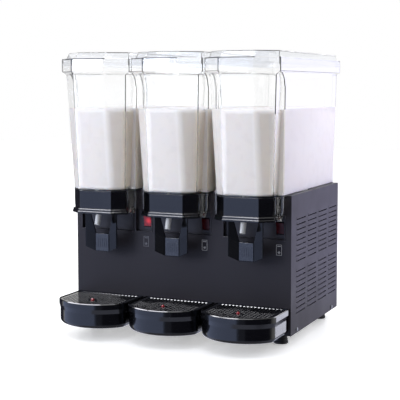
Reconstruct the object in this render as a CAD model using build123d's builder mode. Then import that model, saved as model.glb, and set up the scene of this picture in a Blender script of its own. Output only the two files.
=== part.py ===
from build123d import *
from math import cos, hypot, radians, sin, sqrt, tan
import os

os.makedirs("parts", exist_ok=True)

# Cold drink dispenser with three bowls. Millimetres, +Z up, front towards -Y.
# The origin is under the middle of the whole machine, on the surface that it stands on.
# Depths are measured from the outer face of the front panel, positive towards the rear.

# Case
CASE_W = 540.0
CASE_D = 355.0
FOOT_H = 24.0
CASE_TOP = 336.0
SHEET = 1.5
DECK_UNDER = CASE_TOP - SHEET
PAN_H = 20.0
FRONT_PANEL_FOOT = 30.0
INNER_HALF = CASE_W / 2 - SHEET

# Reach of the whole machine, which puts the origin midway between drip tray front and bowl rim rear
TRAY_FRONT = -140.0
RIM_REAR = 385.0
FRONT = -(TRAY_FRONT + RIM_REAR) / 2

# Bowls
PITCH = 180.0
BOWL_X = {"left": -PITCH, "middle": 0.0, "right": PITCH}
BOWL_WALL = 3.0
BOWL_FLOOR = CASE_TOP
SHOULDER = 601.0
RIM_BOTTOM = 608.5
RIM_TOP = 635.5
NOSE_ANGLE = 40.0
NOSE_LOW = {"front": -72.0, "facet": 40.5, "half": 66.5}
NOSE_HIGH = {"front": -98.0, "facet": 38.5, "half": 77.5}
RIM = {"front": -108.0, "facet": 40.0, "half": 88.0}
NOSE_R = 20.0
BOWL_R = 4.0
BODY_STEP = -25.0
BODY_LOW_HALF = 80.5
BODY_LOW_REAR = 357.0
BODY_HIGH_HALF = 82.5
BODY_HIGH_REAR = 376.0
REAR_CHAMFER = 16.0
NOSE_BACK = 100.0
BODY_HEAD = RIM_BOTTOM + 2
ARCH_R = 30.0
ARCH_IN = 70.0
ARCH_Y = BODY_STEP - ARCH_R
ARCH_Z = 576.0
LEG_FOOT = 283.0
LEG_HEAD = BOWL_FLOOR + 9.0
LEG_IN = 66.8
LEG_OUT = BODY_LOW_HALF - 0.1
LEG_WALL = 3.0
LEG_FRONT = -45.4
TOE_W = 7.0
TOE_H = 9.5
TOE_OUT = 6.0

# Lids
LID_TOP = 651.5
LID_PLUG = 622.0
LID_WALL = 2.2
LID_INSET = BOWL_WALL + 0.6
LID_FLANGE = 2.0
LID_EDGE = 1.5
CROWN_LOW = {"front": -95.0, "facet": 37.9, "half": 80.5}
CROWN_HIGH = {"front": -84.0, "facet": 37.9, "half": 79.0}
CROWN_REAR = 380.0

# Cooling column and agitator in each bowl
COLUMN_Y = 150.0
COLUMN_R = 48.0
COLUMN_TOP = 470.0
COLUMN_BASE_R = 66.0
COLUMN_BASE_H = 6.0
BOWL_HOLE_R = 70.0
DRIVE_R = 16.0
SPIGOT_R = 4.0
SPIGOT_TOP = 486.0
PADDLE_IN = 53.0
PADDLE_OUT = 64.0

# Taps
CRADLE_FOOT = 283.0
CRADLE_TOP = 335.5
CRADLE_WALL = 2.6
CRADLE_HALF = 66.0
LIP_STEPS = ((5.6, 5.0), (4.0, 10.5))
LIP_BACK = -46.0
LIP_EDGE = 1.1
OUTLET_Y = -50.0
NIPPLE_R = 8.0
NIPPLE_FOOT = 306.0
COLLAR_R = 11.0
SPOUT_R = 6.25
SPOUT_BORE = 4.25
SPOUT_LEAN = 17.0
PIVOT_Y = -30.0
PIVOT_Z = 306.0
PIN_R = 3.0
CHEEK_IN = 43.0
CHEEK_OUT = 46.0
LEVER_HALF = 41.0
PAD_HALF = 17.5
PAD_Y = -40.0
WING_Y = -47.5
LEVER_T = 4.0
LEVER_EDGE = 0.8
LEVER_FOOT = 191.0
WING_FOOT = 202.0
PAD_TOP = 234.0
LEVER_TOP = 300.0
BAR_Y = -43.2
BAR_Z = 288.0
BAR_R = 2.5

# Windows of the front panel and the switches in them
WINDOW_LOW = 236.0
WINDOW_HIGH = 292.0
WINDOWS = ((-258.0, -118.0), (-114.5, -70.0), (-63.0, 79.0), (107.0, 257.0))
STRIP_HALF = 262.0
STRIP_DEPTH = 12.0
POCKET_DEPTH = 9.5
WINDOW_LIP = 2.2
LIP_PROUD = 1.2
SWITCH_X = {"left": -86.0, "middle": 62.5, "right": 241.5}
SWITCH_Z = 262.5
ROCKER_W = 18.0
ROCKER_AXIS_Y = 12.0
ROCKER_PIN_R = 1.5

# Drip trays
TRAY_HALF = 87.0
TRAY_BACK = -1.0
TRAY_ARC_R = 103.0
TRAY_CORNER_R = 18.0
TRAY_FLOOR = 29.0
TRAY_NECK = 63.0
TRAY_BAND = 73.0
TRAY_TOP = 86.0
TRAY_WALL = 2.5
TRAY_FOOT_R = 10.0
BASIN_CHAMFER = 4.4
TRAY_EDGE = 1.6
GRID_LOW = 80.0
GRID_T = 4.5
GRID_PITCH = 8.7
GRID_HOLE_W = 5.6
GRID_HOLE = 6.3
GRID_BACK = TRAY_BACK - 1.5
GRID_RAMP_RISE = 3.6
GRID_RAMP_RUN = 2.1
FLOAT_Y = -88.0
FLOAT_R = 12.0

# Louvres of the side panels
LOUVRE_L = 64.0
LOUVRE_H = 2.8
LOUVRE_COLUMNS = 4
LOUVRE_FIRST = 68.0
LOUVRE_PITCH = 80.7
LOUVRE_ROWS = 9
LOUVRE_ROW_PITCH = 11.7
LOUVRE_TOPS = (280.0, 163.0)
SIDE_SCREWS = (42.0, 307.0)
SIDE_SCREW_Z = 31.7
REAR_SCREWS = (255.0, 56.0, 318.0)
SCREW_R = 2.0
SCREW_HEAD_R = 4.5

# Cooling plant in the case
COMPRESSOR_X = -140.0
COMPRESSOR_Y = 215.0
FAN_X = 140.0
FAN_Z = 140.0
FAN_R = 74.0
FAN_Y = 270.0
KNOB_X = -200.0
KNOB_Z = 285.0
INLET_X = -200.0
INLET_Z = 60.0


def level(z):
    """Horizontal plane whose Y starts at the front panel."""
    return Plane(origin=(0, FRONT, z))


def facing(depth):
    """Upright plane across the machine, seen from the front, at a depth."""
    return Plane(origin=(0, FRONT + depth, 0), x_dir=(1, 0, 0), z_dir=(0, -1, 0))


def beside(x):
    """Upright plane from front to rear, seen from the right, at a place across."""
    return Plane(origin=(x, FRONT, 0), x_dir=(0, 1, 0), z_dir=(1, 0, 0))


def upright(x, depth):
    """Axis that stands up at a place in the machine."""
    return Axis((x, FRONT + depth, 0), (0, 0, 1))


def box(x0, x1, y0, y1, z0, z1, mode=Mode.ADD):
    """Block between two corners, with depths for Y."""
    with Locations(((x0 + x1) / 2, FRONT + (y0 + y1) / 2, (z0 + z1) / 2)):
        Box(x1 - x0, y1 - y0, z1 - z0, mode=mode)


def rod(x0, x1, y, z, radius, mode=Mode.ADD):
    """Round bar across the machine."""
    with Locations(((x0 + x1) / 2, FRONT + y, z)):
        Cylinder(radius, x1 - x0, rotation=(0, 90, 0), mode=mode)


def nose(front, facet, half, inset=0.0):
    """Front of a bowl in plan: a flat facet and two chamfers. Returns its corner points, left to right."""
    turn = radians(NOSE_ANGLE)
    wide = half - inset
    flat = facet - inset * tan(turn / 2)
    lead = front + inset
    corner = lead + (wide - flat) * tan(turn)
    return [(-wide, corner), (-flat, lead), (flat, lead), (wide, corner)]


def rear_corners(half, end, inset):
    """Corner points of a straight rear end with cut corners, right to left."""
    cut = REAR_CHAMFER - inset * tan(radians(22.5))
    return [(half, end - cut), (half - cut, end), (cut - half, end), (-half, end - cut)]


def plan(z, points, radius, front_radius=None):
    """Rounded outline at a height. Its foremost corners can have a radius of their own."""
    with BuildSketch(level(z)) as outline:
        Polygon(*points, align=None)
        corners = outline.vertices().group_by(Axis.Y)
        fillet(corners[0], front_radius or radius)
        fillet([corner for group in corners[1:] for corner in group], radius)
    return outline.sketch


def nose_plan(z, size, inset, radius, back=NOSE_BACK, front_radius=None):
    """Nose outline with straight sides that run back into the bowl."""
    points = nose(**size, inset=inset)
    half = points[-1][0]
    return plan(z, points + [(half, back), (-half, back)], radius, front_radius)


def body_plan(z, half, rear, inset, radius):
    """Outline of the bowl behind the nose, with cut rear corners."""
    wide = half - inset
    step = BODY_STEP + inset
    end = rear - inset
    return plan(z, [(-wide, step), (wide, step)] + rear_corners(wide, end, inset), radius)


def rim_plan(z, inset, radius, size=RIM, rear=RIM_REAR, front_radius=None):
    """Outline of the whole rim."""
    points = nose(**size, inset=inset)
    half = points[-1][0]
    return plan(z, points + rear_corners(half, rear - inset, inset), radius, front_radius)


def tray_plan(z, inset, corner_radius):
    """Half-round outline of a drip tray."""
    half = TRAY_HALF - inset
    radius = TRAY_ARC_R - inset
    centre = TRAY_FRONT + TRAY_ARC_R
    turn = centre - sqrt(radius**2 - half**2)
    back = TRAY_BACK - inset
    with BuildSketch(level(z)) as outline:
        with BuildLine():
            Polyline((half, turn), (half, back), (-half, back), (-half, turn))
            ThreePointArc((-half, turn), (0, TRAY_FRONT + inset), (half, turn))
        make_face()
        fillet(outline.vertices().group_by(Axis.Y)[0], corner_radius)
    return outline.sketch


def in_tray(x, y, inset):
    """True where a point of the drip grid lies inside the tray outline by a margin."""
    inside_arc = hypot(x, y - TRAY_FRONT - TRAY_ARC_R) < TRAY_ARC_R - inset or y > TRAY_FRONT + TRAY_ARC_R
    return abs(x) < TRAY_HALF - inset and y < TRAY_BACK - inset and inside_arc


def save(shape, name):
    """Names a finished sub-part and writes it."""
    shape.label = name
    export_step(shape, f"parts/{name}.step")


def save_each(shape, name):
    """Writes a sub-part of the middle bowl once for each bowl."""
    for side, x in BOWL_X.items():
        save(shape.moved(Location((x, 0, 0))), f"{name}_{side}")


# Base pan: folded tray of sheet steel with a tongue under each drip tray
with BuildPart() as base_pan:
    pan_half = INNER_HALF - 0.5
    box(-pan_half, pan_half, 2, CASE_D - 2, FOOT_H, FOOT_H + PAN_H)
    box(
        SHEET - pan_half, pan_half - SHEET, 2 + SHEET, CASE_D - 2 - SHEET,
        FOOT_H + SHEET, FOOT_H + PAN_H, Mode.SUBTRACT,
    )
    for x in BOWL_X.values():
        box(x - 35, x + 35, -90, 20, FOOT_H + SHEET, TRAY_FLOOR)
    for y in SIDE_SCREWS:
        rod(-CASE_W / 2, CASE_W / 2, y, SIDE_SCREW_Z, SCREW_R + 0.3, Mode.SUBTRACT)
base_pan.part.label = "base_pan"
export_step(base_pan.part, "parts/base_pan.step")

# Front panel: flat sheet with windows for the taps and switches
with BuildPart() as front_panel:
    box(-INNER_HALF, INNER_HALF, 0, SHEET, FRONT_PANEL_FOOT, DECK_UNDER)
    for left, right in WINDOWS:
        box(left, right, 0, SHEET, WINDOW_LOW, WINDOW_HIGH, Mode.SUBTRACT)
front_panel.part.label = "front_panel"
export_step(front_panel.part, "parts/front_panel.step")

# Control strip: moulded insert whose pockets show through the windows, with a lip round each
with BuildPart() as control_strip:
    box(-STRIP_HALF, STRIP_HALF, SHEET, STRIP_DEPTH, WINDOW_LOW - 6, WINDOW_HIGH + 6)
    for left, right in WINDOWS:
        box(left + 0.2, right - 0.2, -LIP_PROUD, SHEET, WINDOW_LOW + 0.2, WINDOW_HIGH - 0.2)
    for left, right in WINDOWS:
        box(
            left + WINDOW_LIP, right - WINDOW_LIP, -LIP_PROUD, POCKET_DEPTH,
            WINDOW_LOW + WINDOW_LIP, WINDOW_HIGH - WINDOW_LIP, Mode.SUBTRACT,
        )
    for x in SWITCH_X.values():
        box(x - 10.7, x + 10.7, 0, STRIP_DEPTH, SWITCH_Z - 15.8, SWITCH_Z + 15.8, Mode.SUBTRACT)
control_strip.part.label = "control_strip"
export_step(control_strip.part, "parts/control_strip.step")

# Side panels: sheets with two blocks of louvre slots
for side, inner in (("left", -CASE_W / 2), ("right", INNER_HALF)):
    with BuildPart() as side_panel:
        with BuildSketch(beside(inner)):
            with Locations((CASE_D / 2, (FOOT_H + DECK_UNDER) / 2)):
                Rectangle(CASE_D, DECK_UNDER - FOOT_H)
            for top in LOUVRE_TOPS:
                for row in range(LOUVRE_ROWS):
                    for column in range(LOUVRE_COLUMNS):
                        place = (LOUVRE_FIRST + column * LOUVRE_PITCH, top - row * LOUVRE_ROW_PITCH)
                        with Locations(place):
                            SlotOverall(LOUVRE_L, LOUVRE_H, mode=Mode.SUBTRACT)
            for y in SIDE_SCREWS:
                with Locations((y, SIDE_SCREW_Z)):
                    Circle(SCREW_R + 0.3, mode=Mode.SUBTRACT)
        extrude(amount=SHEET)
    save(side_panel.part, f"side_panel_{side}")

# Rear panel: sheet with the air grille, the knob hole and the inlet hole
with BuildPart() as rear_panel:
    with BuildSketch(facing(CASE_D)):
        with Locations((0, (FOOT_H + DECK_UNDER) / 2)):
            Rectangle(2 * INNER_HALF, DECK_UNDER - FOOT_H)
        with Locations((FAN_X, FAN_Z)):
            with GridLocations(66, 13, 3, 13):
                SlotOverall(54, 6, mode=Mode.SUBTRACT)
        with Locations((-60, FAN_Z)):
            with GridLocations(66, 13, 2, 13):
                SlotOverall(54, 6, mode=Mode.SUBTRACT)
        with Locations((KNOB_X, KNOB_Z)):
            Circle(5, mode=Mode.SUBTRACT)
        with Locations((INLET_X, INLET_Z)):
            Circle(10.3, mode=Mode.SUBTRACT)
        for x in (-REAR_SCREWS[0], REAR_SCREWS[0]):
            for z in REAR_SCREWS[1:]:
                with Locations((x, z)):
                    Circle(SCREW_R + 0.3, mode=Mode.SUBTRACT)
    extrude(amount=SHEET)
rear_panel.part.label = "rear_panel"
export_step(rear_panel.part, "parts/rear_panel.step")

# Top deck: sheet that the bowls stand on, open under each cooling column
with BuildPart() as top_deck:
    box(-CASE_W / 2, CASE_W / 2, 0, CASE_D, DECK_UNDER, CASE_TOP)
    with BuildSketch(level(DECK_UNDER)):
        with Locations([(x, COLUMN_Y) for x in BOWL_X.values()]):
            Circle(DRIVE_R + 4)
    extrude(amount=SHEET, mode=Mode.SUBTRACT)
top_deck.part.label = "top_deck"
export_step(top_deck.part, "parts/top_deck.step")

# Feet: turned rubber cones with a waist, three in front and three behind
with BuildPart() as feet:
    for x in (-236.0, 0.0, 236.0):
        for y in (32.0, CASE_D - 42):
            with BuildSketch(Plane(origin=(x, FRONT + y, 0), x_dir=(1, 0, 0), z_dir=(0, -1, 0))):
                Polygon(
                    (0, 0), (15.5, 0), (16.5, 1), (16.5, 5), (15.2, 6.5), (15.2, 11),
                    (14.2, 12.5), (14.2, 17), (13.2, 18.5), (13.2, FOOT_H), (0, FOOT_H), align=None,
                )
            revolve(axis=upright(x, y))
feet.part.label = "feet"
export_step(feet.part, "parts/feet.step")

# Panel screws: round heads with short shanks, two in each side and four in the rear
with BuildPart() as panel_screws:
    for sign in (-1, 1):
        for y in SIDE_SCREWS:
            outer, head, tip = (sign * CASE_W / 2, sign * (CASE_W / 2 + 2), sign * (CASE_W / 2 - 6))
            rod(min(outer, head), max(outer, head), y, SIDE_SCREW_Z, SCREW_HEAD_R)
            rod(min(outer, tip), max(outer, tip), y, SIDE_SCREW_Z, SCREW_R)
    for x in (-REAR_SCREWS[0], REAR_SCREWS[0]):
        for z in REAR_SCREWS[1:]:
            for radius, start, length in ((SCREW_HEAD_R, CASE_D + 2, 2), (SCREW_R, CASE_D, 7)):
                with BuildSketch(facing(start)):
                    with Locations((x, z)):
                        Circle(radius)
                extrude(amount=length)
panel_screws.part.label = "panel_screws"
export_step(panel_screws.part, "parts/panel_screws.step")

# Bowl: clear moulding with a faceted nose, a wider body behind it, a proud rim and two clip legs
with BuildPart() as bowl:
    # the outside is added first, then the inside is taken away at wall thickness
    for inset, corner, mode in ((0.0, BOWL_R, Mode.ADD), (BOWL_WALL, BOWL_R / 2, Mode.SUBTRACT)):
        foot = BOWL_FLOOR + inset
        bend = NOSE_R - inset
        nose_foot = nose_plan(foot, NOSE_LOW, inset, corner, front_radius=bend)
        nose_head = nose_plan(SHOULDER, NOSE_HIGH, inset, corner, front_radius=bend)
        loft([nose_foot, nose_head], ruled=True, mode=mode)
        body_foot = body_plan(foot, BODY_LOW_HALF, BODY_LOW_REAR, inset, corner)
        body_head = body_plan(BODY_HEAD, BODY_HIGH_HALF, BODY_HIGH_REAR, inset, corner)
        loft([body_foot, body_head], ruled=True, mode=mode)
        shoulder = rim_plan(SHOULDER, inset, corner, NOSE_HIGH, BODY_HIGH_REAR, bend)
        rim = rim_plan(RIM_BOTTOM, inset, corner)
        loft([shoulder, rim], ruled=True, mode=mode)
        extrude(rim, amount=RIM_TOP - RIM_BOTTOM, mode=mode)
        # the wider body reaches forward to the rim in an arch over each leg
        reach = ARCH_R + inset
        outer = BODY_HIGH_HALF - inset
        for start in (-outer, ARCH_IN):
            with BuildSketch(beside(start)):
                with BuildLine():
                    Polyline(
                        (ARCH_Y, ARCH_Z + reach), (ARCH_Y, BODY_HEAD + 2), (BODY_STEP + 8, BODY_HEAD + 2),
                        (BODY_STEP + 8, ARCH_Z), (ARCH_Y + reach, ARCH_Z),
                    )
                    RadiusArc((ARCH_Y, ARCH_Z + reach), (ARCH_Y + reach, ARCH_Z), reach)
                make_face()
            extrude(amount=outer - ARCH_IN, mode=mode)
    # hole round the cooling column
    with BuildSketch(level(BOWL_FLOOR)):
        with Locations((0, COLUMN_Y)):
            Circle(BOWL_HOLE_R)
    extrude(amount=BOWL_WALL, mode=Mode.SUBTRACT)
    # outlet nipple under the nose
    with BuildSketch(level(NIPPLE_FOOT)):
        with Locations((0, OUTLET_Y)):
            Circle(NIPPLE_R)
    extrude(amount=BOWL_FLOOR + 1 - NIPPLE_FOOT)
    with BuildSketch(level(NIPPLE_FOOT)):
        with Locations((0, OUTLET_Y)):
            Circle(NIPPLE_R - 2.5)
    extrude(amount=BOWL_FLOOR + BOWL_WALL - NIPPLE_FOOT, mode=Mode.SUBTRACT)
    # clip legs beside the cradle: an angle of two flanges, cut slanting at the foot, with a slot
    for sign in (-1, 1):
        with BuildSketch(facing(BODY_STEP + 1)):
            Polygon(
                (sign * LEG_IN, LEG_HEAD), (sign * LEG_OUT, LEG_HEAD), (sign * LEG_OUT, LEG_FOOT + 20),
                (sign * (LEG_IN + 9), LEG_FOOT), (sign * (LEG_IN + 2), LEG_FOOT), (sign * LEG_IN, LEG_FOOT + 5),
                align=None,
            )
            with Locations((sign * (LEG_IN + 6), LEG_FOOT + 12)):
                SlotOverall(6, 2.5, mode=Mode.SUBTRACT)
        extrude(amount=LEG_WALL + 1)
        with BuildSketch(facing(BODY_STEP)):
            Polygon(
                (sign * (LEG_IN - 2), LEG_HEAD), (sign * (LEG_IN + LEG_WALL), LEG_HEAD),
                (sign * (LEG_IN + LEG_WALL), LEG_FOOT + 16), (sign * LEG_IN, LEG_FOOT + 16),
                (sign * LEG_IN, BOWL_FLOOR + 0.5), (sign * (LEG_IN - 2), BOWL_FLOOR + 0.5), align=None,
            )
        extrude(amount=BODY_STEP - LEG_FRONT)
        # a slanted toe in front of each foot
        with BuildSketch(beside(sign * (LEG_IN + TOE_W / 2 + 2) - TOE_W / 2)):
            Polygon(
                (BODY_STEP - LEG_WALL + 0.5, LEG_FOOT + TOE_H), (BODY_STEP - LEG_WALL - TOE_OUT, LEG_FOOT + 3),
                (BODY_STEP - LEG_WALL - TOE_OUT, LEG_FOOT + 0.5), (BODY_STEP - LEG_WALL + 0.5, LEG_FOOT + 0.5),
                align=None,
            )
        extrude(amount=TOE_W)
save_each(bowl.part, "bowl")

# Lid: clear cap with a sloping crown, a flange on the rim and a plug inside it
with BuildPart() as lid:
    crown_foot = RIM_TOP + LID_FLANGE
    loft(
        [rim_plan(crown_foot, 0, 3, CROWN_LOW, CROWN_REAR), rim_plan(LID_TOP, 0, 3, CROWN_HIGH, CROWN_REAR)],
        ruled=True,
    )
    fillet(lid.faces().sort_by(Axis.Z)[-1].edges(), LID_EDGE)
    extrude(rim_plan(RIM_TOP, 0.6, 3), amount=LID_FLANGE)
    extrude(rim_plan(LID_PLUG, LID_INSET, 2), amount=RIM_TOP - LID_PLUG)
    extrude(rim_plan(LID_PLUG, LID_INSET + LID_WALL, 1.5), amount=RIM_TOP - LID_PLUG, mode=Mode.SUBTRACT)
    low_inside = rim_plan(RIM_TOP, LID_WALL, 2, CROWN_LOW, CROWN_REAR)
    high_inside = rim_plan(LID_TOP - LID_WALL, LID_WALL, 2, CROWN_HIGH, CROWN_REAR)
    loft([low_inside, high_inside], ruled=True, mode=Mode.SUBTRACT)
save_each(lid.part, "lid")

# Cooling column: stainless cylinder on a round base, with a spigot on top for the agitator
with BuildPart() as column:
    with BuildSketch(facing(COLUMN_Y)):
        Polygon(
            (0, COLUMN_TOP - 1.5), (0, SPIGOT_TOP), (SPIGOT_R, SPIGOT_TOP), (SPIGOT_R, COLUMN_TOP),
            (COLUMN_R - 8, COLUMN_TOP), (COLUMN_R, COLUMN_TOP - 8), (COLUMN_R, CASE_TOP + COLUMN_BASE_H),
            (COLUMN_BASE_R, CASE_TOP + COLUMN_BASE_H), (COLUMN_BASE_R, CASE_TOP), (COLUMN_R - 1.5, CASE_TOP),
            (COLUMN_R - 1.5, COLUMN_TOP - 8.6), (COLUMN_R - 8.6, COLUMN_TOP - 1.5), align=None,
        )
    revolve(axis=upright(0, COLUMN_Y))
save_each(column.part, "cooling_column")

# Bowl gasket: silicone ring between the column base and the bowl's hole
with BuildPart() as gasket:
    with BuildSketch(facing(COLUMN_Y)):
        Polygon(
            (COLUMN_BASE_R + 0.05, CASE_TOP), (BOWL_HOLE_R - 0.4, CASE_TOP), (BOWL_HOLE_R - 0.4, CASE_TOP + 5),
            (COLUMN_BASE_R + 1.5, CASE_TOP + 7), (COLUMN_BASE_R + 0.05, CASE_TOP + 7), align=None,
        )
    revolve(axis=upright(0, COLUMN_Y))
save_each(gasket.part, "bowl_gasket")

# Agitator: hub on the column's spigot, a bar across and a paddle hanging down on each side
with BuildPart() as agitator:
    with BuildSketch(level(COLUMN_TOP + 0.3)):
        with Locations((0, COLUMN_Y)):
            Circle(12)
    extrude(amount=13)
    box(-PADDLE_OUT + 2, PADDLE_OUT - 2, COLUMN_Y - 6, COLUMN_Y + 6, COLUMN_TOP + 4, COLUMN_TOP + 11)
    for sign in (-1, 1):
        near, far = sorted((sign * PADDLE_IN, sign * (PADDLE_OUT - 1)))
        box(near, far, COLUMN_Y - 2.5, COLUMN_Y + 2.5, CASE_TOP + 34, COLUMN_TOP + 11)
    with BuildSketch(level(COLUMN_TOP)):
        with Locations((0, COLUMN_Y)):
            Circle(SPIGOT_R + 0.08)
    extrude(amount=20, mode=Mode.SUBTRACT)
save_each(agitator.part, "agitator")

# Cradle: glossy hood under the bowl's nose that carries the tap, with a lip round its foot
with BuildPart() as cradle:
    hood = {"front": NOSE_LOW["front"], "facet": NOSE_LOW["facet"], "half": CRADLE_HALF}
    # the lip has two steps, each with a chamfered upper edge
    for out, height in LIP_STEPS:
        lip = {"front": hood["front"] - out, "facet": hood["facet"] + 0.4 * out, "half": hood["half"] + out}
        extrude(nose_plan(CRADLE_FOOT, lip, 0, 2.5, back=LIP_BACK), amount=height)
        chamfer(cradle.edges().group_by(Axis.Z)[-1], LIP_EDGE)
    extrude(nose_plan(CRADLE_FOOT, hood, 0, 2.5, back=0), amount=CRADLE_TOP - CRADLE_FOOT)
    hollow = nose_plan(CRADLE_FOOT, hood, CRADLE_WALL, 1.5, back=-CRADLE_WALL)
    extrude(hollow, amount=CRADLE_TOP - CRADLE_FOOT - 3.5, mode=Mode.SUBTRACT)
    for sign in (-1, 1):
        near, far = sorted((sign * CHEEK_IN, sign * CHEEK_OUT))
        box(near, far, -46, -CRADLE_WALL, 294, CRADLE_TOP - 3)
    box(-9, 9, hood["front"] + 2, -62.6, 285, 291)
    # the back is relieved to clear the lip of the window behind it
    box(-CRADLE_HALF, CRADLE_HALF, -LIP_PROUD - 0.2, 0, CRADLE_FOOT, WINDOW_HIGH + 0.4, Mode.SUBTRACT)
    rod(-CHEEK_OUT, CHEEK_OUT, PIVOT_Y, PIVOT_Z, PIN_R, Mode.SUBTRACT)
    with BuildSketch(level(CRADLE_TOP)):
        with Locations((0, OUTLET_Y)):
            Circle(COLLAR_R + 0.3)
    extrude(amount=-4, mode=Mode.SUBTRACT)
save_each(cradle.part, "cradle")

# Spout: silicone tube with a collar round the bowl's nipple, leaning forward to its tip
with BuildPart() as spout:
    with BuildSketch(level(303)):
        with Locations((0, OUTLET_Y)):
            Circle(COLLAR_R)
    extrude(amount=CRADLE_TOP - 303)
    with BuildSketch(level(CRADLE_TOP - 7)):
        with Locations((0, OUTLET_Y)):
            Circle(COLLAR_R + 3)
    extrude(amount=3.3)
    lean = radians(SPOUT_LEAN)
    down = (0, -sin(lean), -cos(lean))
    stub = Plane(origin=(0, FRONT + OUTLET_Y + 6 * tan(lean), 309), x_dir=(1, 0, 0), z_dir=down)
    with BuildSketch(stub):
        Circle(SPOUT_R)
    extrude(amount=55)
    with BuildSketch(level(NIPPLE_FOOT - 1)):
        with Locations((0, OUTLET_Y)):
            Circle(NIPPLE_R + 0.3)
    extrude(amount=CRADLE_TOP, mode=Mode.SUBTRACT)
    with BuildSketch(stub):
        Circle(SPOUT_BORE)
    extrude(amount=60, mode=Mode.SUBTRACT)
save_each(spout.part, "spout")

# Tap lever: three-facet paddle cut open above its pad, hung from a pin inside the cradle
with BuildPart() as tap_lever:
    with BuildSketch(level(LEVER_FOOT)):
        Polygon(
            (-LEVER_HALF, WING_Y), (-PAD_HALF, PAD_Y), (PAD_HALF, PAD_Y), (LEVER_HALF, WING_Y),
            (LEVER_HALF, WING_Y + LEVER_T), (PAD_HALF - 0.6, PAD_Y + LEVER_T),
            (0.6 - PAD_HALF, PAD_Y + LEVER_T), (-LEVER_HALF, WING_Y + LEVER_T), align=None,
        )
    extrude(amount=LEVER_TOP - LEVER_FOOT)
    with BuildSketch(facing(0)):
        Polygon(
            (-PAD_HALF, LEVER_FOOT), (PAD_HALF, LEVER_FOOT), (LEVER_HALF, WING_FOOT), (LEVER_HALF, LEVER_TOP),
            (30, LEVER_TOP), (30, 283), (PAD_HALF, PAD_TOP), (-PAD_HALF, PAD_TOP), (-30, 283), (-30, LEVER_TOP),
            (-LEVER_HALF, LEVER_TOP), (-LEVER_HALF, WING_FOOT), align=None,
        )
    extrude(amount=80, mode=Mode.INTERSECT)
    fillet(tap_lever.edges().filter_by(Axis.Z).group_by(Axis.X)[0], LEVER_EDGE)
    fillet(tap_lever.edges().filter_by(Axis.Z).group_by(Axis.X)[-1], LEVER_EDGE)
    box(-15.5, 15.5, PAD_Y - 1, PAD_Y, LEVER_FOOT + 4, PAD_TOP - 3)
    for sign in (-1, 1):
        near, far = sorted((sign * 30, sign * LEVER_HALF))
        box(near, far, -46, PIVOT_Y, 293, PIVOT_Z)
        near, far = sorted((sign * 26, sign * LEVER_HALF))
        rod(near, far, PIVOT_Y, PIVOT_Z, 7)
    rod(-31, 31, BAR_Y, BAR_Z, BAR_R)
    rod(-LEVER_HALF, LEVER_HALF, PIVOT_Y, PIVOT_Z, PIN_R + 0.06, Mode.SUBTRACT)
save_each(tap_lever.part, "tap_lever")

# Lever springs: bent steel strips from the cradle's back wall to the pinch bar
with BuildPart() as lever_spring:
    with BuildSketch(beside(-6)):
        Polygon(
            (-2.6, 322), (-3.4, 322), (-3.4, 306.6), (-40.9, 291.2), (-40.6, 290.4), (-2.6, 306), align=None,
        )
    extrude(amount=12)
save_each(lever_spring.part, "lever_spring")

# Lever pins: steel pins across each cradle
with BuildPart() as lever_pins:
    for x in BOWL_X.values():
        rod(x - CHEEK_OUT, x + CHEEK_OUT, PIVOT_Y, PIVOT_Z, PIN_R)
lever_pins.part.label = "lever_pins"
export_step(lever_pins.part, "parts/lever_pins.step")

# Drip tray: half-round basin whose wall flares to a band round its rim, with a guide ring for the float
with BuildPart() as drip_tray:
    neck = tray_plan(TRAY_NECK, TRAY_WALL, TRAY_CORNER_R)
    band = tray_plan(TRAY_BAND, 0, TRAY_CORNER_R)
    extrude(neck, amount=TRAY_FLOOR - TRAY_NECK)
    fillet(drip_tray.faces().sort_by(Axis.Z)[0].edges(), TRAY_FOOT_R)
    loft([neck, band], ruled=True)
    extrude(band, amount=TRAY_TOP - TRAY_BAND)
    chamfer(drip_tray.faces().sort_by(Axis.Z)[-1].edges(), TRAY_EDGE)
    basin = Solid.extrude(
        tray_plan(TRAY_FLOOR + TRAY_WALL, 2 * TRAY_WALL, TRAY_CORNER_R - 3).face(), (0, 0, TRAY_TOP),
    )
    add(basin.chamfer(BASIN_CHAMFER, None, basin.edges().group_by(Axis.Z)[0]), mode=Mode.SUBTRACT)
    extrude(tray_plan(GRID_LOW, 2.4, TRAY_CORNER_R), amount=TRAY_TOP, mode=Mode.SUBTRACT)
    with BuildSketch(level(TRAY_FLOOR + TRAY_WALL)):
        with Locations((0, FLOAT_Y)):
            Circle(FLOAT_R + 2.6)
            Circle(FLOAT_R + 0.6, mode=Mode.SUBTRACT)
    extrude(amount=8)
save_each(drip_tray.part, "drip_tray")

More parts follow.
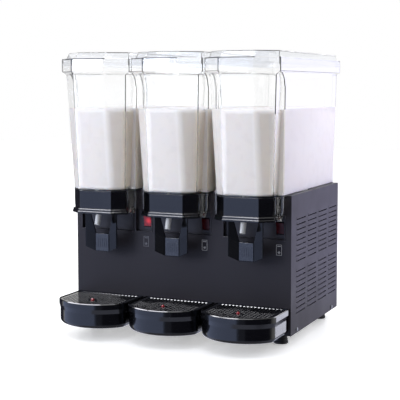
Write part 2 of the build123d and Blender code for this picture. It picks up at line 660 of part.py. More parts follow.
# Drip grid: moulded lattice that lies on the ledge of the tray
with BuildPart() as drip_grid:
    extrude(tray_plan(GRID_LOW, 2.9, TRAY_CORNER_R), amount=GRID_T)
    with BuildSketch(level(GRID_LOW)):
        for column in range(-9, 10):
            for row in range(1, 16):
                x = column * GRID_PITCH
                y = GRID_BACK - row * GRID_PITCH
                fits = all(
                    in_tray(x + dx * GRID_HOLE_W / 2, y + dy * GRID_HOLE / 2, 6)
                    for dx in (-1, 1)
                    for dy in (-1, 1)
                )
                if fits and hypot(x, y - FLOAT_Y) > 10:
                    with Locations((x, y)):
                        Rectangle(GRID_HOLE_W, GRID_HOLE)
        with Locations((0, FLOAT_Y)):
            Circle(5.5)
    extrude(amount=GRID_T, mode=Mode.SUBTRACT)
    # the rear border slopes down into each hole of the last row
    ramp_foot = GRID_BACK - GRID_PITCH + GRID_HOLE / 2
    grid_top = GRID_LOW + GRID_T
    for column in range(-8, 9):
        with BuildSketch(beside(column * GRID_PITCH - GRID_HOLE_W / 2)):
            Polygon(
                (ramp_foot - 0.5, grid_top - GRID_RAMP_RISE), (ramp_foot, grid_top - GRID_RAMP_RISE),
                (ramp_foot + GRID_RAMP_RUN, grid_top), (ramp_foot - 0.5, grid_top), align=None,
            )
        extrude(amount=GRID_HOLE_W, mode=Mode.SUBTRACT)
save_each(drip_grid.part, "drip_grid")

# Float: disc, stem and red dome that rises through the grid as the tray fills
with BuildPart() as float_pin:
    with BuildSketch(facing(FLOAT_Y)):
        with BuildLine():
            Polyline(
                (4.2, TRAY_TOP - 1.5), (2.8, TRAY_TOP - 3), (2.8, 43), (FLOAT_R, 41), (FLOAT_R, 32.5),
                (FLOAT_R - 1, TRAY_FLOOR + TRAY_WALL), (0, TRAY_FLOOR + TRAY_WALL), (0, TRAY_TOP + 3.5),
            )
            RadiusArc((0, TRAY_TOP + 3.5), (4.2, TRAY_TOP - 1.5), 4.8)
        make_face()
    revolve(axis=upright(0, FLOAT_Y))
save_each(float_pin.part, "float")

# Switch bezels: frames with a box behind, set into the control strip
with BuildPart() as switch_bezels:
    for x in SWITCH_X.values():
        box(x - 12, x + 12, POCKET_DEPTH - 2, POCKET_DEPTH, SWITCH_Z - 17, SWITCH_Z + 17)
        box(x - 10.4, x + 10.4, POCKET_DEPTH, 30, SWITCH_Z - 15.5, SWITCH_Z + 15.5)
        box(
            x - ROCKER_W / 2 - 0.4, x + ROCKER_W / 2 + 0.4, POCKET_DEPTH - 2, 22,
            SWITCH_Z - 14.4, SWITCH_Z + 14.4, Mode.SUBTRACT,
        )
        rod(x - 10, x + 10, ROCKER_AXIS_Y, SWITCH_Z, ROCKER_PIN_R)
switch_bezels.part.label = "switch_bezels"
export_step(switch_bezels.part, "parts/switch_bezels.step")

# Switch rockers: wedges that tip about a pin across the bezel, shown with the lower end pressed in
for side, x in SWITCH_X.items():
    with BuildPart() as switch_rocker:
        with BuildSketch(beside(x - ROCKER_W / 2)):
            Polygon(
                (4.2, SWITCH_Z + 12.4), (6.6, SWITCH_Z), (8.2, SWITCH_Z - 12.6), (14, SWITCH_Z - 9),
                (16, SWITCH_Z), (14, SWITCH_Z + 9), (8.6, SWITCH_Z + 13), align=None,
            )
        extrude(amount=ROCKER_W)
        fillet(switch_rocker.edges().filter_by(Axis.X).sort_by(Axis.Y)[0], 1.2)
        rod(x - ROCKER_W / 2, x + ROCKER_W / 2, ROCKER_AXIS_Y, SWITCH_Z, ROCKER_PIN_R + 0.06, Mode.SUBTRACT)
    save(switch_rocker.part, f"switch_rocker_{side}")

# Mixer motors: round geared motors under the deck, inside each column
with BuildPart() as mixer_motors:
    for x in BOWL_X.values():
        with BuildSketch(level(DECK_UNDER - 58)):
            with Locations((x, COLUMN_Y)):
                Circle(34)
        extrude(amount=40)
        with BuildSketch(level(DECK_UNDER - 18)):
            with Locations((x, COLUMN_Y)):
                Circle(DRIVE_R)
        extrude(amount=40)
        box(x - 50, x + 50, COLUMN_Y - 10, COLUMN_Y + 10, DECK_UNDER - 3, DECK_UNDER)
        box(x - 50, x - 47, COLUMN_Y - 10, COLUMN_Y + 10, DECK_UNDER - 30, DECK_UNDER)
        box(x - 50, x - 30, COLUMN_Y - 10, COLUMN_Y + 10, DECK_UNDER - 30, DECK_UNDER - 27)
mixer_motors.part.label = "mixer_motors"
export_step(mixer_motors.part, "parts/mixer_motors.step")

# Compressor: domed steel can on a plate that stands in the base pan
with BuildPart() as compressor:
    box(COMPRESSOR_X - 80, COMPRESSOR_X + 80, COMPRESSOR_Y - 60, COMPRESSOR_Y + 60, FOOT_H + SHEET, 37)
    with BuildSketch(level(37)):
        with Locations((COMPRESSOR_X, COMPRESSOR_Y)):
            Ellipse(74, 62)
    extrude(amount=140)
    fillet(compressor.faces().sort_by(Axis.Z)[-1].edges(), 28)
    with BuildSketch(level(150)):
        with Locations((COMPRESSOR_X + 40, COMPRESSOR_Y)):
            Circle(6)
    extrude(amount=50)
compressor.part.label = "compressor"
export_step(compressor.part, "parts/compressor.step")

# Condenser: fins on two rows of tube, standing behind the fan
with BuildPart() as condenser:
    for index in range(22):
        x = FAN_X - 94.5 + index * 9
        box(x - 0.4, x + 0.4, 302, 344, 50, 230)
    for y in (312.0, 334.0):
        for index in range(7):
            rod(FAN_X - 98, FAN_X + 98, y, 65 + index * 25, 4)
    for x in (FAN_X - 98, FAN_X + 96):
        box(x, x + 2, 300, 346, FOOT_H + SHEET, 234)
condenser.part.label = "condenser"
export_step(condenser.part, "parts/condenser.step")

# Fan shroud: plate with a round mouth, and two bars that carry the motor
with BuildPart() as fan_shroud:
    with BuildSketch(facing(298)):
        with Locations((FAN_X, FAN_Z)):
            Rectangle(196, 180)
            Circle(FAN_R + 4, mode=Mode.SUBTRACT)
    extrude(amount=2)
    for z in (FAN_Z - 16, FAN_Z + 12):
        box(FAN_X - 92, FAN_X + 92, 232, 236, z, z + 4)
        for x in (FAN_X - 92, FAN_X + 88):
            box(x, x + 4, 232, 297, z, z + 4)
    box(FAN_X - 60, FAN_X + 60, 290, 298, FOOT_H + SHEET, 52)
fan_shroud.part.label = "fan_shroud"
export_step(fan_shroud.part, "parts/fan_shroud.step")

# Fan motor: round motor on the shroud's bars, with a shaft towards the fan
with BuildPart() as fan_motor:
    with BuildSketch(facing(262)):
        with Locations((FAN_X, FAN_Z)):
            Circle(26)
    extrude(amount=26)
    with BuildSketch(facing(286)):
        with Locations((FAN_X, FAN_Z)):
            Circle(4)
    extrude(amount=25)
fan_motor.part.label = "fan_motor"
export_step(fan_motor.part, "parts/fan_motor.step")

# Fan blade: hub with five pitched blades
with BuildPart() as fan_blade:
    with BuildSketch(facing(FAN_Y + 15)):
        with Locations((FAN_X, FAN_Z)):
            Circle(18)
    extrude(amount=15)
    for index in range(5):
        turn = radians(72 * index)
        axis = (cos(turn), 0, sin(turn))
        place = (FAN_X + 15 * cos(turn), FRONT + FAN_Y + 7.5, FAN_Z + 15 * sin(turn))
        with BuildSketch(Plane(origin=place, x_dir=(-sin(turn), 0.6, cos(turn)), z_dir=axis)):
            Rectangle(26, 2)
        extrude(amount=FAN_R - 16, taper=-4)
    with BuildSketch(facing(FAN_Y + 15)):
        with Locations((FAN_X, FAN_Z)):
            Circle(4.06)
    extrude(amount=15, mode=Mode.SUBTRACT)
fan_blade.part.label = "fan_blade"
export_step(fan_blade.part, "parts/fan_blade.step")

# Thermostat: box behind the rear panel with a shaft through it
with BuildPart() as thermostat:
    box(KNOB_X - 20, KNOB_X + 20, 318, CASE_D - SHEET, KNOB_Z - 18, KNOB_Z + 18)
    with BuildSketch(facing(CASE_D + 12)):
        with Locations((KNOB_X, KNOB_Z)):
            Circle(3)
    extrude(amount=20)
thermostat.part.label = "thermostat"
export_step(thermostat.part, "parts/thermostat.step")

# Thermostat knob: turned grip with a pointer ridge
with BuildPart() as thermostat_knob:
    with BuildSketch(facing(CASE_D + 16)):
        with Locations((KNOB_X, KNOB_Z)):
            Circle(16)
    extrude(amount=13, taper=-6)
    box(KNOB_X - 2, KNOB_X + 2, CASE_D + 15.5, CASE_D + 18.5, KNOB_Z - 14, KNOB_Z + 14)
    with BuildSketch(facing(CASE_D + 13)):
        with Locations((KNOB_X, KNOB_Z)):
            Circle(3.06)
    extrude(amount=20, mode=Mode.SUBTRACT)
thermostat_knob.part.label = "thermostat_knob"
export_step(thermostat_knob.part, "parts/thermostat_knob.step")

# Power inlet: bush in the rear panel where the supply lead enters
with BuildPart() as power_inlet:
    with BuildSketch(Plane(origin=(INLET_X, FRONT, INLET_Z), x_dir=(1, 0, 0), z_dir=(0, 0, 1))):
        Polygon(
            (4.5, 343), (10, 343), (10, CASE_D), (14, CASE_D), (14, CASE_D + 3), (9, CASE_D + 9),
            (4.5, CASE_D + 9), align=None,
        )
    revolve(axis=Axis((INLET_X, 0, INLET_Z), (0, 1, 0)))
power_inlet.part.label = "power_inlet"
export_step(power_inlet.part, "parts/power_inlet.step")
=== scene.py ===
# %% [markdown]
# # Cold drink dispenser with three bowls
# The solids of the machine come from the CAD model as a fixed frame. This script gives every solid
# its real finish, adds the drink and the small surface details, and sets up the studio.
# Everything is in metres, in the frame of the CAD model: +Z is up and the taps face -Y.

# %% Load the frame
import math

import bpy
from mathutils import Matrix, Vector


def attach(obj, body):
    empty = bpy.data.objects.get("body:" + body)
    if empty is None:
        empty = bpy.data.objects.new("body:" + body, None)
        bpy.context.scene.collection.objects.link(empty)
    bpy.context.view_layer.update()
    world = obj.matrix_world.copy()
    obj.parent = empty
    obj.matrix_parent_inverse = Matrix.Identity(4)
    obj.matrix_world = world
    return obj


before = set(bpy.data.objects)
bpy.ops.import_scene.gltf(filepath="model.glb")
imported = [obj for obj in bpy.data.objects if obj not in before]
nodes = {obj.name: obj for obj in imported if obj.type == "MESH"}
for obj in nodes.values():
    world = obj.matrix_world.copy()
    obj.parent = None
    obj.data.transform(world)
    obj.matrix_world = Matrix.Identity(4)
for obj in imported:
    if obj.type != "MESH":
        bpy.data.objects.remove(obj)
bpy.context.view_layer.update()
scene = bpy.context.scene
scene.view_settings.view_transform = "Standard"
# a line of sight through three bowls and their lids crosses more than 20 clear faces
CLEAR_FACES = 36
scene.cycles.max_bounces = CLEAR_FACES
scene.cycles.transmission_bounces = CLEAR_FACES

# %% [markdown]
# ## Shared values and helpers
# Sizes are written in millimetres, as on a drawing, and turned to metres where they are used.
# Depths are counted from the outer face of the front panel, so that a depth of 0 is on the panel.

# %% Sizes that several pieces share
MM = 0.001
FRONT = -122.5
BOWL_X = {"left": -180.0, "middle": 0.0, "right": 180.0}
SWITCH_X = {"left": -86.0, "middle": 62.5, "right": 241.5}


def at(x, depth, z):
    """Point in metres from a place across, a depth and a height in millimetres."""
    return Vector((x, FRONT + depth, z)) * MM


def start_clean():
    """Leaves edit mode and deselects everything, because operators act on all that is selected."""
    if bpy.context.object and bpy.context.object.mode != "OBJECT":
        bpy.ops.object.mode_set(mode="OBJECT")
    bpy.ops.object.select_all(action="DESELECT")


def block(name, low, high):
    """Adds a cube between two corners, with its place in its mesh, and leaves it active."""
    start_clean()
    bpy.ops.mesh.primitive_cube_add(size=1, location=(low + high) / 2)
    piece = bpy.context.object
    piece.name = name
    piece.scale = high - low
    bpy.ops.object.transform_apply(location=True, rotation=True, scale=True)
    return piece


def apply_modifier(piece, kind, **settings):
    """Adds a modifier, sets it and applies it to the mesh."""
    bpy.context.view_layer.objects.active = piece
    modifier = piece.modifiers.new(kind.title(), kind)
    for key, value in settings.items():
        setattr(modifier, key, value)
    bpy.ops.object.modifier_apply(modifier=modifier.name)


def join(pieces, name):
    """Joins pieces into the first one and names it."""
    start_clean()
    for piece in pieces:
        piece.select_set(True)
    bpy.context.view_layer.objects.active = pieces[0]
    bpy.ops.object.join()
    pieces[0].name = name
    return pieces[0]


def copy_at(piece, name, offset):
    """Copies a piece with its own mesh, moved by an offset in metres that goes into the mesh."""
    start_clean()
    piece.select_set(True)
    bpy.context.view_layer.objects.active = piece
    bpy.ops.object.duplicate()
    twin = bpy.context.object
    twin.name = name
    twin.location = offset
    bpy.ops.object.transform_apply(location=True, rotation=True, scale=True)
    return twin


print("helpers ready")

# %% [markdown]
# ## Building finishes
# Each finish is a small node tree round a Principled shader. A colour is written as it looks on
# screen, in hex, and turned to the linear value that the shader works with.

# %% Colour and node helpers


def colour(code):
    """Linear colour from an sRGB hex code."""
    values = [int(code[i : i + 2], 16) / 255 for i in (1, 3, 5)]
    return [v / 12.92 if v <= 0.04045 else ((v + 0.055) / 1.055) ** 2.4 for v in values] + [1.0]


def add_node(tree, kind, settings=None, links=None):
    """Adds a node, sets its inputs or properties, and links its inputs."""
    node = tree.nodes.new(kind)
    for key, value in (settings or {}).items():
        if isinstance(key, int) or key in node.inputs:
            node.inputs[key].default_value = value
        else:
            setattr(node, key, value)
    for key, socket in (links or {}).items():
        tree.links.new(socket, node.inputs[key])
    return node


def new_finish(name, **settings):
    """Starts a material. Returns it with its tree, its shader and its Object coordinates."""
    material = bpy.data.materials.new(name)
    material.use_nodes = True
    tree = material.node_tree
    shader = tree.nodes["Principled BSDF"]
    for key, value in settings.items():
        shader.inputs[key.replace("_", " ")].default_value = value
    place = add_node(tree, "ShaderNodeTexCoord").outputs["Object"]
    return material, tree, shader, place


def dress(material, *names):
    """Gives a material to CAD nodes."""
    for name in names:
        piece = nodes[name]
        piece.data.materials.clear()
        piece.data.materials.append(material)
    print(material.name, "on", len(names), "nodes")


def each(*names):
    """Node names of all three bowls."""
    return [f"{name}_{side}" for name in names for side in BOWL_X]


print("finish helpers ready")

# %% [markdown]
# ## Powder-coated steel
# The case, its deck, its base pan and the fan's shroud are folded sheet with a satin black powder
# coat. Powder melts into a faint orange peel, which breaks up reflections. The real peel is about
# 1 mm, too fine for this picture, so it is drawn at 4 mm. A slow change in roughness stands for
# handling and wiping.

# %% Powder coat
powder, tree, shader, place = new_finish(
    "powder_coated_steel", Base_Color=colour("#3c393e"), Specular_IOR_Level=0.15
)
PEEL_MM = 4.0
peel = add_node(tree, "ShaderNodeTexNoise", {"Scale": 1 / (PEEL_MM * MM), "Detail": 2.0}, {"Vector": place})
bump = add_node(
    tree, "ShaderNodeBump", {"Strength": 0.08, "Distance": 0.0003}, {"Height": peel.outputs["Fac"]}
)
tree.links.new(bump.outputs["Normal"], shader.inputs["Normal"])
WIPE_MM = 90.0
wipe = add_node(tree, "ShaderNodeTexNoise", {"Scale": 1 / (WIPE_MM * MM), "Detail": 3.0}, {"Vector": place})
satin = add_node(
    tree,
    "ShaderNodeMapRange",
    {"From Min": 0.3, "From Max": 0.7, "To Min": 0.34, "To Max": 0.44},
    {"Value": wipe.outputs["Fac"]},
)
tree.links.new(satin.outputs["Result"], shader.inputs["Roughness"])
dress(powder, "front_panel", "side_panel_left", "side_panel_right", "rear_panel")
dress(powder, "base_pan", "top_deck", "fan_shroud")

# %% [markdown]
# ## Gloss black ABS
# The cradles under the bowls and the drip trays are polished mouldings. They are nearly black, and
# what the eye sees on them is the studio: pale where a facet faces the light, black where it faces
# away. A little waviness in the skin keeps the reflections from looking like a mirror. The levers
# are of the same plastic, dulled by hands, so they mirror about half as much. The drip grids are
# a deeper black. Both finishes are copies of the first with one value changed.

# %% Gloss black plastic
gloss, tree, shader, place = new_finish("gloss_black_abs", Base_Color=colour("#0c0c0f"), IOR=1.54)
WAVE_MM = 35.0
wave = add_node(tree, "ShaderNodeTexNoise", {"Scale": 1 / (WAVE_MM * MM), "Detail": 1.0}, {"Vector": place})
bump = add_node(
    tree, "ShaderNodeBump", {"Strength": 0.06, "Distance": 0.002}, {"Height": wave.outputs["Fac"]}
)
tree.links.new(bump.outputs["Normal"], shader.inputs["Normal"])
HAZE_MM = 60.0
haze = add_node(tree, "ShaderNodeTexNoise", {"Scale": 1 / (HAZE_MM * MM), "Detail": 4.0}, {"Vector": place})
polish = add_node(
    tree,
    "ShaderNodeMapRange",
    {"From Min": 0.3, "From Max": 0.7, "To Min": 0.08, "To Max": 0.16},
    {"Value": haze.outputs["Fac"]},
)
tree.links.new(polish.outputs["Result"], shader.inputs["Roughness"])
dress(gloss, *each("cradle", "drip_tray"))

worn_gloss = gloss.copy()
worn_gloss.name = "worn_black_abs"
worn_gloss.node_tree.nodes["Principled BSDF"].inputs["Specular IOR Level"].default_value = 0.26
dress(worn_gloss, *each("tap_lever"))

lattice_black = gloss.copy()
lattice_black.name = "lattice_black_abs"
lattice_black.node_tree.nodes["Principled BSDF"].inputs["Base Color"].default_value = colour("#070709")
dress(lattice_black, *each("drip_grid"))

# %% [markdown]
# ## Satin black plastic
# The fan, the knob and the small rear fittings are moulded in a duller black with a spark-eroded
# texture, which gives a soft sheen. The texture's grain is about 0.3 mm, drawn here at 1.5 mm.

# %% Satin black plastic
satin_black, tree, shader, place = new_finish("satin_black_plastic", Base_Color=colour("#101013"))
GRAIN_MM = 1.5
grain = add_node(tree, "ShaderNodeTexVoronoi", {"Scale": 1 / (GRAIN_MM * MM)}, {"Vector": place})
bump = add_node(
    tree, "ShaderNodeBump", {"Strength": 0.1, "Distance": 0.0002}, {"Height": grain.outputs["Distance"]}
)
tree.links.new(bump.outputs["Normal"], shader.inputs["Normal"])
dull = add_node(
    tree,
    "ShaderNodeMapRange",
    {"From Min": 0.0, "From Max": 0.8, "To Min": 0.22, "To Max": 0.34},
    {"Value": grain.outputs["Distance"]},
)
tree.links.new(dull.outputs["Result"], shader.inputs["Roughness"])
dress(satin_black, "fan_blade", "thermostat", "thermostat_knob", "power_inlet")

# %% [markdown]
# ## Dark grey moulding
# The insert behind the windows and the bezels of the switches are moulded in the grey of the case,
# with a fine matt grain. The colour is the same as the powder coat's. The moulding mirrors a little
# more of the room, and that alone makes it look lighter.

# %% Dark grey moulding
dark_grey, tree, shader, place = new_finish(
    "dark_grey_moulding", Base_Color=colour("#3c393e"), Specular_IOR_Level=0.3
)
MATT_MM = 2.0
matt = add_node(tree, "ShaderNodeTexNoise", {"Scale": 1 / (MATT_MM * MM), "Detail": 3.0}, {"Vector": place})
bump = add_node(
    tree, "ShaderNodeBump", {"Strength": 0.08, "Distance": 0.0002}, {"Height": matt.outputs["Fac"]}
)
tree.links.new(bump.outputs["Normal"], shader.inputs["Normal"])
even = add_node(
    tree,
    "ShaderNodeMapRange",
    {"From Min": 0.3, "From Max": 0.7, "To Min": 0.3, "To Max": 0.42},
    {"Value": matt.outputs["Fac"]},
)
tree.links.new(even.outputs["Result"], shader.inputs["Roughness"])
dress(dark_grey, "control_strip", "switch_bezels")

# %% [markdown]
# ## Clear polycarbonate
# Bowls and lids are clear mouldings 2 to 3 mm thick. The wall is real geometry, so the shader can
# bend the light as plastic does. Lamps have to reach the drink through the wall, and tracing that
# light as it bends is slow, so shadow rays pass straight through. The lids are a slightly greyer
# grade, so each of their walls takes away a little of the light behind it.

# %% Clear polycarbonate
clear, tree, shader, place = new_finish(
    "clear_polycarbonate", Base_Color=colour("#ffffff"), IOR=1.5, Transmission_Weight=1.0, Roughness=0.0
)
FLOW_MM = 70.0
flow = add_node(tree, "ShaderNodeTexNoise", {"Scale": 1 / (FLOW_MM * MM), "Detail": 1.0}, {"Vector": place})
bump = add_node(
    tree, "ShaderNodeBump", {"Strength": 0.03, "Distance": 0.002}, {"Height": flow.outputs["Fac"]}
)
tree.links.new(bump.outputs["Normal"], shader.inputs["Normal"])
path = add_node(tree, "ShaderNodeLightPath")
open_air = add_node(tree, "ShaderNodeBsdfTransparent", {"Color": colour("#fafbfd")})
mix = add_node(
    tree,
    "ShaderNodeMixShader",
    links={0: path.outputs["Is Shadow Ray"], 1: shader.outputs["BSDF"], 2: open_air.outputs["BSDF"]},
)
tree.links.new(mix.outputs["Shader"], tree.nodes["Material Output"].inputs["Surface"])
dress(clear, *each("bowl"))

tinted = clear.copy()
tinted.name = "tinted_polycarbonate"
tinted.node_tree.nodes["Principled BSDF"].inputs["Base Color"].default_value = colour("#f9fafc")
dress(tinted, *each("lid"))

# %% [markdown]
# ## Silicone, rubber and small plastics
# The spouts and gaskets are soft white silicone with a dusty skin. Light goes a few millimetres into
# it, evenly for all colours, which softens its shading. The agitators are food-safe white plastic
# with a slick skin. The feet are moulded rubber, matt and grainy.

# %% White silicone
silicone, tree, shader, place = new_finish(
    "white_silicone", Base_Color=colour("#fafafa"), Subsurface_Weight=0.3, Subsurface_Scale=0.003
)
shader.inputs["Subsurface Radius"].default_value = (1.0, 0.97, 0.95)
DUST_MM = 6.0
dust = add_node(tree, "ShaderNodeTexNoise", {"Scale": 1 / (DUST_MM * MM), "Detail": 3.0}, {"Vector": place})
soft = add_node(
    tree,
    "ShaderNodeMapRange",
    {"From Min": 0.3, "From Max": 0.7, "To Min": 0.38, "To Max": 0.52},
    {"Value": dust.outputs["Fac"]},
)
tree.links.new(soft.outputs["Result"], shader.inputs["Roughness"])
dress(silicone, *each("spout", "bowl_gasket"))

# %% White agitator plastic
acetal, tree, shader, place = new_finish("white_acetal", Base_Color=colour("#e6e6e4"))
TOOL_MM = 3.0
tool = add_node(tree, "ShaderNodeTexNoise", {"Scale": 1 / (TOOL_MM * MM), "Detail": 2.0}, {"Vector": place})
slick = add_node(
    tree,
    "ShaderNodeMapRange",
    {"From Min": 0.3, "From Max": 0.7, "To Min": 0.28, "To Max": 0.38},
    {"Value": tool.outputs["Fac"]},
)
tree.links.new(slick.outputs["Result"], shader.inputs["Roughness"])
dress(acetal, *each("agitator"))

# %% Foot rubber
rubber, tree, shader, place = new_finish("moulded_rubber", Base_Color=colour("#0e0e0f"))
CURE_MM = 2.5
cure = add_node(tree, "ShaderNodeTexNoise", {"Scale": 1 / (CURE_MM * MM), "Detail": 4.0}, {"Vector": place})
bump = add_node(
    tree, "ShaderNodeBump", {"Strength": 0.2, "Distance": 0.0003}, {"Height": cure.outputs["Fac"]}
)
tree.links.new(bump.outputs["Normal"], shader.inputs["Normal"])
worn = add_node(
    tree,
    "ShaderNodeMapRange",
    {"From Min": 0.3, "From Max": 0.7, "To Min": 0.55, "To Max": 0.75},
    {"Value": cure.outputs["Fac"]},
)
tree.links.new(worn.outputs["Result"], shader.inputs["Roughness"])
dress(rubber, "feet")

# %% [markdown]
# ## Red plastic
# The floats are red gloss plastic. The rockers are a see-through red that looks dark while the switch
# is off. The one that is on has a lamp behind it, so its plastic glows. A real lamp inside would need
# many samples, so the plastic glows by itself, most at the lamp's place and less away from it.

# %% Red plastics
red, tree, shader, place = new_finish("red_gloss_plastic", Base_Color=colour("#a8101a"), IOR=1.5)
SWIRL_MM = 8.0
swirl = add_node(tree, "ShaderNodeTexNoise", {"Scale": 1 / (SWIRL_MM * MM), "Detail": 2.0}, {"Vector": place})
shine = add_node(
    tree,
    "ShaderNodeMapRange",
    {"From Min": 0.3, "From Max": 0.7, "To Min": 0.14, "To Max": 0.24},
    {"Value": swirl.outputs["Fac"]},
)
tree.links.new(shine.outputs["Result"], shader.inputs["Roughness"])
dress(red, *each("float"))

dark_red = red.copy()
dark_red.name = "red_smoked_plastic"
smoked = dark_red.node_tree.nodes["Principled BSDF"]
smoked.inputs["Base Color"].default_value = colour("#45080f")
smoked.inputs["Specular IOR Level"].default_value = 0.2
dress(dark_red, "switch_rocker_middle", "switch_rocker_right")

lit_red = red.copy()
lit_red.name = "red_lit_plastic"
lamp_red = lit_red.node_tree.nodes["Principled BSDF"]
lamp_red.inputs["Emission Color"].default_value = colour("#ff3a44")
LAMP_PLACE = at(SWITCH_X["left"] + 3, 4, 262)
LAMP_R_MM = 9.0
tree = lit_red.node_tree
place = add_node(tree, "ShaderNodeTexCoord").outputs["Object"]
away = add_node(tree, "ShaderNodeVectorMath", {"operation": "DISTANCE", 1: LAMP_PLACE}, {0: place})
lamp_glow = add_node(
    tree,
    "ShaderNodeMapRange",
    {"From Min": LAMP_R_MM * MM, "From Max": 0.0, "To Min": 0.04, "To Max": 0.7},
    {"Value": away.outputs["Value"]},
)
tree.links.new(lamp_glow.outputs["Result"], lamp_red.inputs["Emission Strength"])
dress(lit_red, "switch_rocker_left")

# %% [markdown]
# ## Metals
# The cooling columns and the lever pins are brushed stainless, with fine lines that stretch the
# highlights. The screws and the lever springs are zinc plated, with a faint spangle. The fins of the
# condenser are aluminium under a dark lacquer, and the compressor and motors are enamelled black.

# %% Brushed stainless steel
stainless, tree, shader, place = new_finish("brushed_stainless", Base_Color=colour("#b9babd"), Metallic=1.0)
LINE_MM = 1.2
LINE_LENGTH_MM = 60.0
stretch = add_node(
    tree,
    "ShaderNodeMapping",
    {"Scale": (1 / (LINE_LENGTH_MM * MM), 1 / (LINE_MM * MM), 1 / (LINE_MM * MM))},
    {"Vector": place},
)
lines = add_node(
    tree, "ShaderNodeTexNoise", {"Scale": 1.0, "Detail": 3.0}, {"Vector": stretch.outputs["Vector"]}
)
brushed = add_node(
    tree,
    "ShaderNodeMapRange",
    {"From Min": 0.3, "From Max": 0.7, "To Min": 0.22, "To Max": 0.4},
    {"Value": lines.outputs["Fac"]},
)
tree.links.new(brushed.outputs["Result"], shader.inputs["Roughness"])
dress(stainless, *each("cooling_column"), "lever_pins")

# %% Zinc plate
zinc, tree, shader, place = new_finish("zinc_plate", Metallic=1.0)
SPANGLE_MM = 12.0
spangle = add_node(tree, "ShaderNodeTexVoronoi", {"Scale": 1 / (SPANGLE_MM * MM)}, {"Vector": place})
tone = add_node(
    tree,
    "ShaderNodeMix",
    {"data_type": "RGBA", 6: colour("#8d9094"), 7: colour("#a6a9ac")},
    {0: spangle.outputs["Color"]},
)
tree.links.new(tone.outputs[2], shader.inputs["Base Color"])
flake = add_node(
    tree,
    "ShaderNodeMapRange",
    {"From Min": 0.0, "From Max": 1.0, "To Min": 0.35, "To Max": 0.5},
    {"Value": spangle.outputs["Color"]},
)
tree.links.new(flake.outputs["Result"], shader.inputs["Roughness"])
dress(zinc, "panel_screws", *each("lever_spring"))

# %% Lacquered fins and black enamel
fins, tree, shader, place = new_finish("lacquered_aluminium", Base_Color=colour("#3a3b3d"), Metallic=1.0)
ROLL_MM = 2.0
roll = add_node(tree, "ShaderNodeTexNoise", {"Scale": 1 / (ROLL_MM * MM), "Detail": 2.0}, {"Vector": place})
rolled = add_node(
    tree,
    "ShaderNodeMapRange",
    {"From Min": 0.3, "From Max": 0.7, "To Min": 0.3, "To Max": 0.45},
    {"Value": roll.outputs["Fac"]},
)
tree.links.new(rolled.outputs["Result"], shader.inputs["Roughness"])
dress(fins, "condenser")

enamel, tree, shader, place = new_finish("black_enamel", Base_Color=colour("#131314"))
DIP_MM = 14.0
dip = add_node(tree, "ShaderNodeTexNoise", {"Scale": 1 / (DIP_MM * MM), "Detail": 2.0}, {"Vector": place})
enamelled = add_node(
    tree,
    "ShaderNodeMapRange",
    {"From Min": 0.3, "From Max": 0.7, "To Min": 0.2, "To Max": 0.34},
    {"Value": dip.outputs["Fac"]},
)
tree.links.new(enamelled.outputs["Result"], shader.inputs["Roughness"])
dress(enamel, "compressor", "fan_motor", "mixer_motors")

# %% [markdown]
# ## The drink
# The bowls stand about two thirds full of a white drink. Its shape is the inside of a bowl up to
# the filling level, so it is cut the way a carpenter would: a block is sliced by the planes of the
# bowl's inner walls. The nose and the wider body are cut as two blocks and joined, and the room
# that the cooling column and its agitator take up is cut out from below. The drink reaches a hair
# into the wall, so that no film of air shows between the two.

# %% Cut one drink to the inside of the middle bowl
BOWL_FLOOR_Z = 339.0
LEVEL_Z = 525.0
REACH = 0.1
FLOOR_Z = BOWL_FLOOR_Z - REACH
# inner sizes of the nose and of the body, on the bowl's floor and at their own tops
SHOULDER_Z = 601.0
NOSE_FRONT = (-69.0, -95.0)
NOSE_FLAT = (39.4, 37.4)
NOSE_HALF = (63.5, 74.5)
NOSE_TURN = math.radians(40)
NOSE_REAR = 60.0
BODY_HEAD_Z = 610.5
BODY_HALF = (77.5, 79.5)
BODY_REAR = (354.0, 373.0)
BODY_CORNER = 14.8
BODY_STEP = -22.0 - REACH


def drafted(sizes, z, top):
    """Size of a drafted wall at a height, from its sizes on the floor and at the top."""
    low, high = sizes
    return low + (high - low) * (z - BOWL_FLOOR_Z) / (top - BOWL_FLOOR_Z)


def nose_corners(z):
    """Corners of the nose's inside at a height, from the left side to the right."""
    front = drafted(NOSE_FRONT, z, SHOULDER_Z) - REACH
    flat = drafted(NOSE_FLAT, z, SHOULDER_Z)
    half = drafted(NOSE_HALF, z, SHOULDER_Z) + REACH
    corner = front + (half - flat) * math.tan(NOSE_TURN)
    left = [(-half, NOSE_REAR), (-half, corner), (-flat, front)]
    right = [(-x, depth) for x, depth in reversed(left)]
    return [at(x, depth, z) for x, depth in left + right]


def body_corners(z):
    """Corners of the wider body's inside at a height, from the left front round the rear."""
    half = drafted(BODY_HALF, z, BODY_HEAD_Z) + REACH
    rear = drafted(BODY_REAR, z, BODY_HEAD_Z) + REACH
    left = [(-half, BODY_STEP), (-half, rear - BODY_CORNER), (BODY_CORNER - half, rear)]
    right = [(-x, depth) for x, depth in reversed(left)]
    return [at(x, depth, z) for x, depth in left + right]


def slice_to(piece, corners, middle):
    """Slices a block by the wall through each pair of neighbouring corners, keeping the middle."""
    start_clean()
    bpy.context.view_layer.objects.active = piece
    bpy.ops.object.mode_set(mode="EDIT")
    low, high = corners(FLOOR_Z), corners(LEVEL_Z)
    for a, b, up in zip(low, low[1:], high):
        outward = (b - a).cross(up - a)
        if outward.dot(middle - a) > 0:
            outward = -outward
        bpy.ops.mesh.select_all(action="SELECT")
        bpy.ops.mesh.bisect(plane_co=a, plane_no=outward, use_fill=True, clear_outer=True)
    bpy.ops.object.mode_set(mode="OBJECT")


